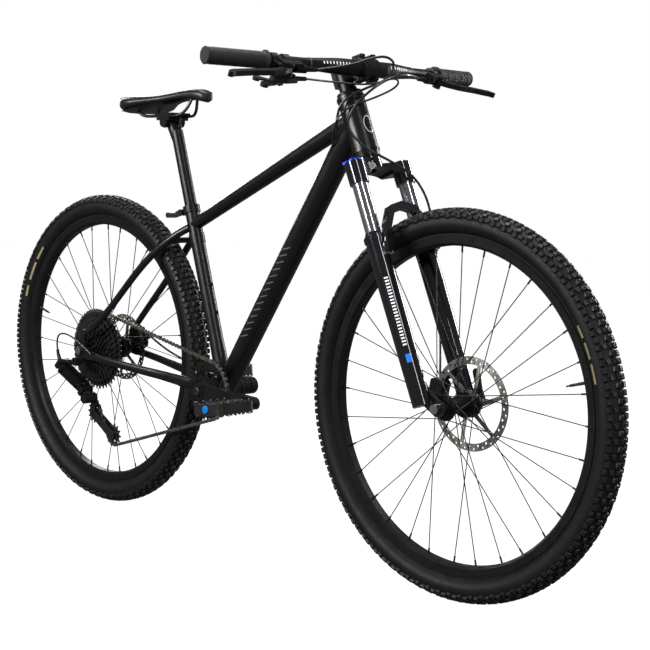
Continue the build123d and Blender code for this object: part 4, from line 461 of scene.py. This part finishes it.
def grip_radius(along, angle):
    """A flange, a collar, a waffled middle and a closed end with its edge broken."""
    if along < FLANGE_TO:
        return FLANGE_R
    if along < COLLAR_TO:
        return COLLAR_R
    if along > GRIP_LENGTH - CAP_EDGE_LONG:
        return CAP_EDGE_R
    if along > GRIP_LENGTH - CAP_LONG:
        return CAP_R
    if WAFFLE_FROM < along < GRIP_LENGTH - WAFFLE_SHORT:
        first_band = sin(angle * WAFFLE_ROUND + along * WAFFLE_ALONG)
        second_band = sin(angle * WAFFLE_ROUND - along * WAFFLE_ALONG)
        return GRIP_R + (WAFFLE_HIGH if first_band * second_band > WAFFLE_CUT else WAFFLE_LOW)
    return GRIP_R


def build_grip(name, side):
    """A waffled rubber grip with a smooth inner flange and a closed end."""
    outward = bar_outward(side)
    start = Vector((GRIP_START_X, side * GRIP_START_Y, GRIP_START_Z))
    first, second = axes_for(outward)
    rings = []
    for row in range(GRIP_ROWS + 1):
        along = GRIP_LENGTH * row / GRIP_ROWS
        ring = []
        for k in range(GRIP_AROUND):
            angle = tau * k / GRIP_AROUND
            spoke = (first * cos(angle) + second * sin(angle)) * grip_radius(along, angle)
            ring.append(start + outward * along + spoke)
        rings.append(ring)
    bm = bmesh.new()
    skin_rings(bm, rings)
    grip = new_object(name, bm, [MATERIALS["grip"]], smooth=40)
    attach(grip, "steering")
    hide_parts("grips")


# ---- Saddle ----
SADDLE_STATIONS = [
    # x, half width, top height, depth of the side
    (-0.4425, 0.018, 0.9550, 0.015), (-0.4405, 0.034, 0.9590, 0.024), (-0.4320, 0.052, 0.9630, 0.033),
    (-0.4180, 0.064, 0.9650, 0.038), (-0.3980, 0.0695, 0.9655, 0.037), (-0.3760, 0.0675, 0.9650, 0.032),
    (-0.3540, 0.0565, 0.9642, 0.026), (-0.3320, 0.0455, 0.9640, 0.021), (-0.3080, 0.0355, 0.9655, 0.019),
    (-0.2820, 0.0280, 0.9690, 0.019), (-0.2540, 0.0240, 0.9730, 0.020), (-0.2280, 0.0215, 0.9758, 0.022),
    (-0.2060, 0.0205, 0.9762, 0.024), (-0.1900, 0.0185, 0.9740, 0.025), (-0.1800, 0.0145, 0.9695, 0.022),
    (-0.1745, 0.0080, 0.9630, 0.013),
]


SADDLE_AROUND = 40
CROWN_SHARE, CROWN_SQUARE, TOP_SQUARE = 0.62, 0.62, 0.72
SIDE_SQUARE, TUCK, TUCK_SQUARE = 0.5, 0.20, 0.8
CHANNEL_DEEP, CHANNEL_HALF, CHANNEL_FROM, CHANNEL_TO = 0.0026, 0.011, -0.42, -0.22
SIDE_PANEL_SLOPE, SIDE_PANEL_SHARE = 0.55, 0.8
BASE_INSET, BASE_LEAST, BASE_DROP = 0.006, 0.006, 0.0012
BASE_OUTLINE = ((-1, 0.004), (-0.6, 0.0), (0, -0.001), (0.6, 0.0), (1, 0.004), (0.7, 0.007), (-0.7, 0.007))
RAIL_R = 0.0035
SEAM_R, SEAM_OUT, SEAM_DOWN = 0.0007, 0.93, 0.185


def saddle_ring(x, half, top, depth):
    """One cross-section of the saddle, crowned, with a shallow channel and sides that tuck in."""
    ring = []
    shoulder = top - depth * CROWN_SHARE
    for k in range(SADDLE_AROUND):
        angle = tau * k / SADDLE_AROUND
        c, s = cos(angle), sin(angle)
        way = 1 if c >= 0 else -1
        if s >= 0:
            y = half * (abs(c) ** TOP_SQUARE) * way
            z = shoulder + depth * CROWN_SHARE * (s ** CROWN_SQUARE)
            if CHANNEL_FROM < x < CHANNEL_TO:
                z -= CHANNEL_DEEP * max(0.0, 1 - abs(y) / CHANNEL_HALF)
        else:
            y = half * (abs(c) ** SIDE_SQUARE) * way * (1 - TUCK * (abs(s) ** TUCK_SQUARE))
            z = shoulder - depth * (1 - CROWN_SHARE) * (abs(s) ** 0.5)
        ring.append(Vector((x, y, z)))
    return ring


def build_saddle():
    """A padded cover with its seams, its base and the two rails under it."""
    bm = bmesh.new()
    skin_rings(bm, [saddle_ring(*station) for station in SADDLE_STATIONS])
    for face in bm.faces:
        middle = face.calc_center_median()
        far_out = abs(middle.y) > SIDE_PANEL_SHARE * half_width(middle.x)
        side_panel = abs(face.normal.z) < SIDE_PANEL_SLOPE or far_out
        face.material_index = 1 if side_panel else 0
    cover = new_object("saddle_cover", bm, [MATERIALS["saddle_top"], MATERIALS["saddle_side"]], smooth=70)
    smoothing = cover.modifiers.new("smooth", "SUBSURF")
    smoothing.levels = smoothing.render_levels = 2
    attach(cover, "seat")
    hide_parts("saddle")

    bm = bmesh.new()
    plate = []
    for x, half, top, depth in SADDLE_STATIONS[1:-1]:
        width = max(BASE_LEAST, half - BASE_INSET)
        low = top - depth - BASE_DROP
        plate.append([Vector((x, y * width, low + z)) for y, z in BASE_OUTLINE])
    skin_rings(bm, plate)
    base = new_object("saddle_base", bm, [MATERIALS["plastic"]], smooth=50)
    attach(base, "seat")

    bm = bmesh.new()
    for side in (-1, 1):
        line = smooth_line([
            (-0.400, side * 0.031, 0.938), (-0.392, side * 0.030, 0.930), (-0.381, side * 0.025, 0.9205),
            (-0.368, side * 0.022, 0.918), (-0.340, side * 0.022, 0.918), (-0.300, side * 0.022, 0.918),
            (-0.268, side * 0.022, 0.918), (-0.254, side * 0.021, 0.9190), (-0.240, side * 0.016, 0.927),
            (-0.231, side * 0.011, 0.941), (-0.226, side * 0.008, 0.954),
        ])
        tube_mesh(bm, line, RAIL_R)
    rails = new_object("saddle_rails", bm, [MATERIALS["dark_steel"]], smooth=60)
    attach(rails, "seat")

    bm = bmesh.new()
    for side in (-1, 1):
        line = []
        for x, half, top, depth in SADDLE_STATIONS[1:-1]:
            line.append(Vector((x, side * half * SEAM_OUT, top - depth * SEAM_DOWN)))
        tube_mesh(bm, line, SEAM_R, segments=8)
    seams = new_object("saddle_seams", bm, [MATERIALS["thread"]], smooth=60)
    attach(seams, "seat")


def half_width(x):
    """The saddle's half width at a place along it."""
    for (x_a, half_a, _, _), (x_b, half_b, _, _) in zip(SADDLE_STATIONS, SADDLE_STATIONS[1:]):
        if x_a <= x <= x_b:
            return half_a + (half_b - half_a) * (x - x_a) / (x_b - x_a)
    return SADDLE_STATIONS[0][1]


# ---- Hoses: the CAD routes, except that the first two loop closer to the stem, as in the picture ----
HOSE_D, HOUSING_D = 0.005, 0.004


def build_hose(name, points, diameter, body=None, between=None,
               node="frame_cables"):
    """A brake hose or cable housing, riding on one body, or left fixed where it lies when it runs between two.
    """
    line = smooth_line(points)
    bm = bmesh.new()
    tube_mesh(bm, line, diameter / 2)
    tube = new_object(name, bm, [MATERIALS["hose"]], smooth=60)
    if between:
        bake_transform(tube)
    else:
        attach(tube, body)
    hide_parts(node)


def build_hoses():
    """All five hoses and housings."""
    build_hose("rear_brake_hose", [
        (0.3075, -0.1403, 0.9877), (0.331, -0.083, 0.997), (0.345, -0.03, 1.016), (0.349, 0.006, 1.021),
        (0.346, 0.034, 1.008), (0.334, 0.024, 0.977), (0.303, -0.018, 0.957), (0.268, -0.037, 0.934),
        (0.258, -0.038, 0.902), (0.25, -0.03, 0.872), (0.24, -0.018, 0.85),
    ], HOSE_D, between=("steering", "frame"))
    build_hose("shift_housing", [
        (0.2885, -0.1496, 0.9707), (0.325, -0.088, 0.965), (0.340, -0.026, 0.965), (0.347, 0.024, 0.981),
        (0.3455, 0.046, 0.977), (0.335, 0.046, 0.963), (0.313, 0.014, 0.944), (0.281, -0.034, 0.923),
        (0.261, -0.045, 0.896), (0.247, -0.038, 0.866), (0.232, -0.02, 0.84),
    ], HOUSING_D, between=("steering", "frame"))
    down_the_leg = (
        (0.520, 0.032, -0.030), (0.492, 0.044, 0.014), (0.455, 0.052, 0.064), (0.400, 0.042, 0.093),
        (0.330, 0.022, 0.095), (0.220, 0.002, 0.090), (0.120, -0.019, 0.072), (0.080, -0.022, 0.058),
    )
    build_hose("front_hose", [
        (0.3073, 0.1418, 0.9877), (0.348, 0.084, 0.99), (0.364, 0.02, 0.986), (0.353, -0.03, 0.963),
        (0.314, -0.054, 0.92), (0.302, -0.054, 0.88), *[tuple(fork(*place)) for place in down_the_leg],
    ], HOSE_D, between=("steering", "fork_lower"),
        node="front_brake_hose")
    build_hose("rear_brake_hose_low", [
        (-0.2605, 0.056, 0.348), (-0.3615, 0.066, 0.362), (-0.4315, 0.064, 0.386), (-0.4745, 0.068, 0.404),
    ], HOSE_D, body="frame")
    build_hose("derailleur_housing", [
        (-0.5075, -0.0775, 0.364), (-0.5495, -0.084, 0.391), (-0.5875, -0.088, 0.406),
        (-0.6195, -0.089, 0.405), (-0.6355, -0.087, 0.387), (-0.633, -0.086, 0.3655),
    ], HOUSING_D, body="frame")


# ---- Marks: even, equal, generic shapes that spell and picture nothing ----
PRINT_PROUD, PRINT_SUNK = 0.00035, 0.0005
PATCH_AROUND = 8
LEG_AHEAD, LEG_OUT, LEG_R, LEG_FLARE, LEG_FOOT, LEG_RUN = 0.0205, 0.065, 0.018, 0.002, 0.014, 0.236
LEG_TICKS, LEG_TICK_TOP, LEG_TICK_STEP, LEG_TICK_LONG = 22, 0.262, 0.0062, 0.0030
LEG_TICK_ANGLES, LEG_BLOCK, LEG_BLOCK_ANGLES, LEG_PATCH_STEPS = (38, 60), (0.112, 0.096), (34, 62), 8
BEND_X, BEND_Y, BEND_Z = 0.2982, 0.045, 0.9990
BAR_R, BAR_TAPER, TAPER_FROM, TAPER_RUN = 0.0159, 0.0048, 0.030, 0.075
BAR_TICKS, BAR_TICK_FIRST, BAR_TICK_STEP, BAR_TICK_LONG = 9, 0.010, 0.0072, 0.0022
BAR_TICK_ANGLES, BAR_LINE, BAR_LINE_ANGLES = (6, 28), (0.0960, 0.0972), (-60, 120)
DOWN_TUBE_TOP, DOWN_TUBE_R, DOWN_TUBE_FLARE = 0.594, 0.0235, 0.0015
TUBE_TICKS, TUBE_TICK_FIRST, TUBE_TICK_STEP = 14, 0.150, 0.0178
TUBE_TICK_FROM, TUBE_TICK_SWEEP = -16, 36
TUBE_TICK_WIDE, TUBE_TICK_SLANT, TUBE_TICK_PROUD, TUBE_TICK_AROUND = 0.0034, 0.016, 0.0003, 6
HEAD_R, BADGE_UP, BADGE_HALF_HEIGHT, BADGE_HALF_WIDTH = 0.0271, 0.577, 0.0185, 0.0115
BADGE_RIM, BADGE_PROUD, BADGE_AROUND = 0.86, 0.0005, 48
MARK_SUNK = 0.0006


def on_leg(side, up, angle, lift):
    """A point over a lower leg's surface, by height and by angle from straight ahead."""
    reach = LEG_R + LEG_FLARE * min(1.0, (up - LEG_FOOT) / LEG_RUN) + lift
    return fork(up, LEG_AHEAD + cos(angle) * reach, side * (LEG_OUT + sin(angle) * reach))


def on_bar(side, out, angle, lift):
    """A point over the handlebar's surface, by distance from its bend and angle up from straight ahead."""
    outward = bar_outward(side)
    ahead = Vector((1, 0, 0))
    ahead = (ahead - outward * ahead.dot(outward)).normalized()
    upward = ahead.cross(outward) * side
    reach = BAR_R - BAR_TAPER * min(1.0, max(0.0, (out - TAPER_FROM) / TAPER_RUN)) + lift
    centre = Vector((BEND_X, side * BEND_Y, BEND_Z)) + outward * out
    return centre + (ahead * cos(angle) + upward * sin(angle)) * reach


def patch(bm, surface, side, run, angles, steps, slot=0):
    """A thin curved patch over a surface, between two distances along it and two angles round it."""
    turns = [radians(angles[0] + (angles[1] - angles[0]) * j / PATCH_AROUND) for j in range(PATCH_AROUND + 1)]
    rings = []
    for k in range(steps + 1):
        along = run[0] + (run[1] - run[0]) * k / steps
        rings.append([surface(side, along, turn, PRINT_PROUD) for turn in turns]
                     + [surface(side, along, turn, -PRINT_SUNK) for turn in turns[::-1]])
    skin_rings(bm, rings, slot=slot)


def build_leg_marks():
    """A row of ticks and a blue block on each fork leg."""
    bm = bmesh.new()
    for side in (-1, 1):
        for tick in range(LEG_TICKS):
            top = LEG_TICK_TOP - tick * LEG_TICK_STEP
            patch(bm, on_leg, side, (top, top - LEG_TICK_LONG), LEG_TICK_ANGLES, LEG_PATCH_STEPS)
        patch(bm, on_leg, side, LEG_BLOCK, LEG_BLOCK_ANGLES, LEG_PATCH_STEPS, slot=1)
    marks = new_object("fork_leg_marks", bm, [MATERIALS["white_print"], MATERIALS["blue_print"]], smooth=60)
    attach(marks, "fork_lower")


def build_bar_marks():
    """A row of ticks and a thin grey line on each side of the handlebar."""
    bm = bmesh.new()
    for side in (-1, 1):
        for tick in range(BAR_TICKS):
            out = BAR_TICK_FIRST + tick * BAR_TICK_STEP
            patch(bm, on_bar, side, (out, out + BAR_TICK_LONG), BAR_TICK_ANGLES, 1)
        patch(bm, on_bar, side, BAR_LINE, BAR_LINE_ANGLES, 1, slot=1)
    ticks = new_object("handlebar_marks", bm, [MATERIALS["white_print"], MATERIALS["grey_print"]], smooth=60)
    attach(ticks, "steering")


def build_tube_marks():
    """A row of slanted ticks on each side of the down tube."""
    run = fork(DOWN_TUBE_TOP) - BRACKET
    along = run.normalized()
    up = LATERAL.cross(along)
    edges = ((0.0, -MARK_SUNK), (0.0, TUBE_TICK_PROUD),
             (TUBE_TICK_WIDE, TUBE_TICK_PROUD), (TUBE_TICK_WIDE, -MARK_SUNK))
    bm = bmesh.new()
    for side in (-1, 1):
        for tick in range(TUBE_TICKS):
            near = TUBE_TICK_FIRST + tick * TUBE_TICK_STEP
            radius = DOWN_TUBE_R + DOWN_TUBE_FLARE * near / run.length
            rings = []
            for j in range(TUBE_TICK_AROUND + 1):
                share = j / TUBE_TICK_AROUND
                angle = radians(TUBE_TICK_FROM + TUBE_TICK_SWEEP * share)
                square = LATERAL * side * cos(angle) + up * sin(angle)
                low = near + TUBE_TICK_SLANT * (share - 0.5)
                rings.append([BRACKET + along * (low + edge) + square * (radius + lift)
                              for edge, lift in edges])
            skin_rings(bm, rings)
    dashes = new_object("down_tube_marks", bm, [MATERIALS["grey_print"]], smooth=60)
    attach(dashes, "frame")


def build_badge():
    """A blank oval outline on the head tube."""
    edges = ((1.0, -MARK_SUNK), (1.0, BADGE_PROUD), (BADGE_RIM, BADGE_PROUD), (BADGE_RIM, -MARK_SUNK))
    rings = []
    for k in range(BADGE_AROUND):
        turn = tau * k / BADGE_AROUND
        ring = []
        for size, lift in edges:
            angle = cos(turn) * BADGE_HALF_WIDTH * size / HEAD_R
            up = BADGE_UP + sin(turn) * BADGE_HALF_HEIGHT * size
            ring.append(fork(up, cos(angle) * (HEAD_R + lift), sin(angle) * (HEAD_R + lift)))
        rings.append(ring)
    bm = bmesh.new()
    skin_rings(bm, rings, closed_loop=True)
    badge = new_object("head_badge", bm, [MATERIALS["silver_print"]], smooth=40)
    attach(badge, "frame")


# ---- Small fittings ----
ROTOR_BOLT_RING, ROTOR_FACE = 0.022, 0.0021
CHAINRING_BOLT_RING, CHAINRING_BOLT_Y, CRANK_BOLT_Y = 0.047, -0.0574, 0.0824
CAP_PROFILE = ((-0.002, 0.0082), (0.0, 0.0082), (0.0008, 0.0072), (0.0012, 0.004))
PIN_PROFILE = ((0.0, 0.0019), (0.0022, 0.0019), (0.0027, 0.0012))
PIN_ROW, PIN_STEP, PIN_LIFT = 0.0385, 0.0185, 0.0128
PEDAL_TILT = radians(6.0)
PEDAL_UP = Vector((-sin(PEDAL_TILT), 0, cos(PEDAL_TILT)))


def build_rotor_bolts():
    """Six bolts on each brake rotor."""
    for side, wheel, y in (("front", FRONT, 0.0395), ("rear", REAR, 0.0529)):
        bm = bmesh.new()
        for k in range(6):
            angle = radians(30 + 60 * k)
            place = Vector((cos(angle) * ROTOR_BOLT_RING, y + ROTOR_FACE, sin(angle) * ROTOR_BOLT_RING))
            socket_bolt(bm, wheel + place, LATERAL, 0.0034, 0.0014)
        bolts = new_object(f"{side}_rotor_bolts", bm, [MATERIALS["dark_steel"]], smooth=30)
        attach(bolts, f"{side}_wheel")


def build_crank_bolts():
    """Four chainring bolts and the crank's own bolt."""
    bm = bmesh.new()
    for k in range(4):
        angle = radians(43 + 90 * k)
        place = Vector((cos(angle) * CHAINRING_BOLT_RING, CHAINRING_BOLT_Y, sin(angle) * CHAINRING_BOLT_RING))
        socket_bolt(bm, BRACKET + place, -LATERAL, 0.0052, 0.0024)
    socket_bolt(bm, BRACKET - LATERAL * CRANK_BOLT_Y, -LATERAL, 0.0094, 0.0016)
    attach(new_object("crank_bolts", bm, [MATERIALS["bronze"]], smooth=30), "crank")


def build_pedal_fittings(body, side):
    """A pedal's blue end cap, and five pins along both edges of each face."""
    low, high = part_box(body)
    outer = low.y if side < 0 else high.y
    spin = Vector(JOINTS[f"{body}_spin"]["pos_m"])
    bm = bmesh.new()
    lathe(bm, Vector((spin.x, outer, spin.z)), LATERAL * side, CAP_PROFILE, segments=28)
    cap = new_object(f"{body}_cap", bm, [MATERIALS["cap_blue"]], smooth=30)
    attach(cap, body)

    bm = bmesh.new()
    for face in (-1, 1):
        for row in (-PIN_ROW, PIN_ROW):
            for k in range(-2, 3):
                place = Vector((spin.x + row, (low.y + high.y) / 2 + k * PIN_STEP, spin.z))
                place = tilt_about(place, spin) + PEDAL_UP * face * PIN_LIFT
                lathe(bm, place, PEDAL_UP * face, PIN_PROFILE, segments=10)
    pins = new_object(f"{body}_pins", bm, [MATERIALS["steel"]], smooth=30)
    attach(pins, body)


def tilt_about(place, centre):
    """A point turned about a pedal's axle by its resting tilt."""
    offset = place - centre
    c, s = cos(PEDAL_TILT), sin(PEDAL_TILT)
    return centre + Vector((offset.x * c - offset.z * s, offset.y, offset.x * s + offset.z * c))


# ---- What each surface is made of ----
MATERIALS = {
    "frame": material("satin_frame_black", (0.0045, 0.0045, 0.0055), 0.30, vary=0.2, grain=2600, lift=0.00001,
                      mottle=9, shine=0.42),
    "alloy": material("anodised_black", (0.008, 0.008, 0.009), 0.32, 0.3, grain=1500, lift=0.00003, mottle=30,
                      shine=0.35),
    "gloss": material("gloss_black", (0.004, 0.004, 0.0055), 0.12, vary=0.15, coat=1.0, coat_rough=0.03,
                      mottle=7),
    "chrome": material("hard_chrome", (0.72, 0.73, 0.75), 0.12, 1.0, vary=0.04, grain=900, lift=0.00001),
    "steel": material("brushed_steel", (0.42, 0.41, 0.40), 0.32, 1.0, vary=0.12, grain=1400, lift=0.00004),
    "dark_steel": material("dark_steel", (0.06, 0.06, 0.062), 0.35, 0.9, grain=900, lift=0.00003),
    "front_rotor": material("front_rotor_steel", (0.42, 0.39, 0.36), 0.32, 1.0, vary=0.15, grain=420,
                            lift=0.00006,
                            lines=FRONT),
    "rear_rotor": material("rear_rotor_steel", (0.42, 0.39, 0.36), 0.32, 1.0, vary=0.15, grain=420,
                           lift=0.00006,
                           lines=REAR),
    "cassette": material("cassette_steel", (0.10, 0.10, 0.102), 0.34, 1.0, vary=0.35, grain=300, lift=0.00005,
                         lines=REAR),
    "ring": material("chainring_black", (0.035, 0.035, 0.036), 0.34, 0.9, vary=0.3, grain=300, lift=0.00004,
                     lines=BRACKET),
    "chain": material("oiled_chain", (0.30, 0.27, 0.22), 0.36, 1.0, vary=0.4, grain=1600, lift=0.00004,
                      mottle=160),
    "rim_front": material("front_rim_black", (0.007, 0.007, 0.0075), 0.36, 0.2, grain=260, lift=0.00002,
                          lines=FRONT,
                          shine=0.3),
    "rim_rear": material("rear_rim_black", (0.007, 0.007, 0.0075), 0.36, 0.2, grain=260, lift=0.00002,
                         lines=REAR,
                         shine=0.3),
    "spoke": material("spoke_black", (0.004, 0.004, 0.004), 0.4, 0.0, grain=900, lift=0.00001),
    "tyre": material("tyre_rubber", (0.0060, 0.0060, 0.0060), 0.55, vary=0.3, grain=900, lift=0.00010,
                     mottle=40,
                     shine=0.25),
    # Knob rubber: the casing's rubber with its colour made lighter and a little bluer. This is a painted
    # highlight standing in for light caught on the knob tops; the roughness and shine are its own.
    "tread": material("tread_rubber_painted_highlight", (0.0100, 0.0099, 0.0106), 0.44, vary=0.4, grain=700, lift=0.00012,
                      mottle=60,
                      shine=0.38),
    "grip": material("grip_rubber", (0.010, 0.010, 0.010), 0.60, vary=0.25, grain=1500, lift=0.0001,
                     mottle=60),
    "hose": material("hose_black", (0.010, 0.010, 0.011), 0.30, vary=0.2, coat=0.3, grain=1800, lift=0.00002),
    "plastic": material("moulded_plastic", (0.009, 0.009, 0.0095), 0.42, vary=0.25, grain=1300, lift=0.00008),
    "saddle_top": material("saddle_cover", (0.012, 0.012, 0.013), 0.46, vary=0.2, grain=780, lift=0.00006,
                           cells=True,
                           sheen=0.05, shine=0.3),
    "saddle_side": material("saddle_side", (0.009, 0.009, 0.010), 0.36, vary=0.2, grain=1500, lift=0.00004,
                            shine=0.4),
    "thread": material("grey_thread", (0.03, 0.03, 0.03), 0.7, grain=2500, lift=0.0001),
    "blue": material("blue_anodised", (0.012, 0.040, 0.40), 0.25, 0.7, vary=0.15, grain=1200, lift=0.00003),
    "bronze": material("bronze_bolt", (0.13, 0.11, 0.085), 0.3, 1.0, vary=0.15, grain=1200, lift=0.00003),
    "white_print": material("white_print", (0.74, 0.75, 0.78), 0.35, vary=0.04, grain=1500, lift=0.00002),
    "cap_blue": material("cap_blue", (0.004, 0.17, 0.50), 0.35, vary=0.1, grain=1500, lift=0.00002),
    "blue_print": material("blue_print", (0.01, 0.16, 0.75), 0.35, vary=0.05, grain=1500, lift=0.00002),
    "grey_print": material("grey_print", (0.10, 0.10, 0.105), 0.4, vary=0.12, grain=1500, lift=0.00002),
    "silver_print": material("silver_print", (0.72, 0.72, 0.74), 0.25, 0.6, vary=0.05, grain=1500,
                             lift=0.00002),
    "dull_gold": material("dull_gold_print", (0.30, 0.25, 0.13), 0.5, vary=0.15, grain=1500, lift=0.00002),
}

NODE_MATERIALS = {
    "frame": ["head_tube", "top_tube", "down_tube", "seat_tube", "bottom_bracket_shell", "chainstays",
              "seatstays"],
    "alloy": ["headset_cups", "bottom_bracket_cups", "seat_collar", "stem", "handlebar", "seatpost",
              "front_hub", "rear_hub", "right_crank", "left_crank", "derailleur_mount", "derailleur_link_outer",
              "derailleur_link_inner", "derailleur_knuckle", "brake_masters", "brake_lever_right",
              "brake_lever_left", "front_caliper", "rear_caliper"],
    "gloss": ["fork_crown", "fork_lowers"],
    "chrome": ["stanchions"],
    "steel": ["front_axle", "rear_axle"],
    "dark_steel": ["front_axle_lever", "rear_axle_lever", "seat_qr_lever", "derailleur_cage"],
    "front_rotor": ["front_rotor"],
    "rear_rotor": ["rear_rotor"],
    "cassette": ["cassette"],
    "ring": ["chainring"],
    "chain": ["chain"],
    "rim_front": ["front_rim"],
    "rim_rear": ["rear_rim"],
    "spoke": ["front_spokes", "rear_spokes"],
    "grip": ["front_inner_tube", "rear_inner_tube"],
    "plastic": ["pedal_right", "pedal_left", "shifter_pod", "shift_lever_main", "shift_lever_release",
                "jockey_upper", "jockey_lower"],
    "blue": ["fork_knob"],
}

stage_scene()
for kind, members in NODE_MATERIALS.items():
    for member in members:
        coat_node(member, MATERIALS[kind])
build_hoses()
build_tyre("front", FRONT, "front_wheel")
build_tyre("rear", REAR, "rear_wheel")
sidewall_marks("front", FRONT, "front_wheel", ((17, 6), (24, 5), (30, 4)))
sidewall_marks("rear", REAR, "rear_wheel", ((139, 7), (149, 9), (159, 5)))
build_grip("grip_right", -1)
build_grip("grip_left", 1)
build_saddle()
build_leg_marks()
build_bar_marks()
build_tube_marks()
build_badge()
build_rotor_bolts()
build_crank_bolts()
build_pedal_fittings("pedal_right", -1)
build_pedal_fittings("pedal_left", 1)
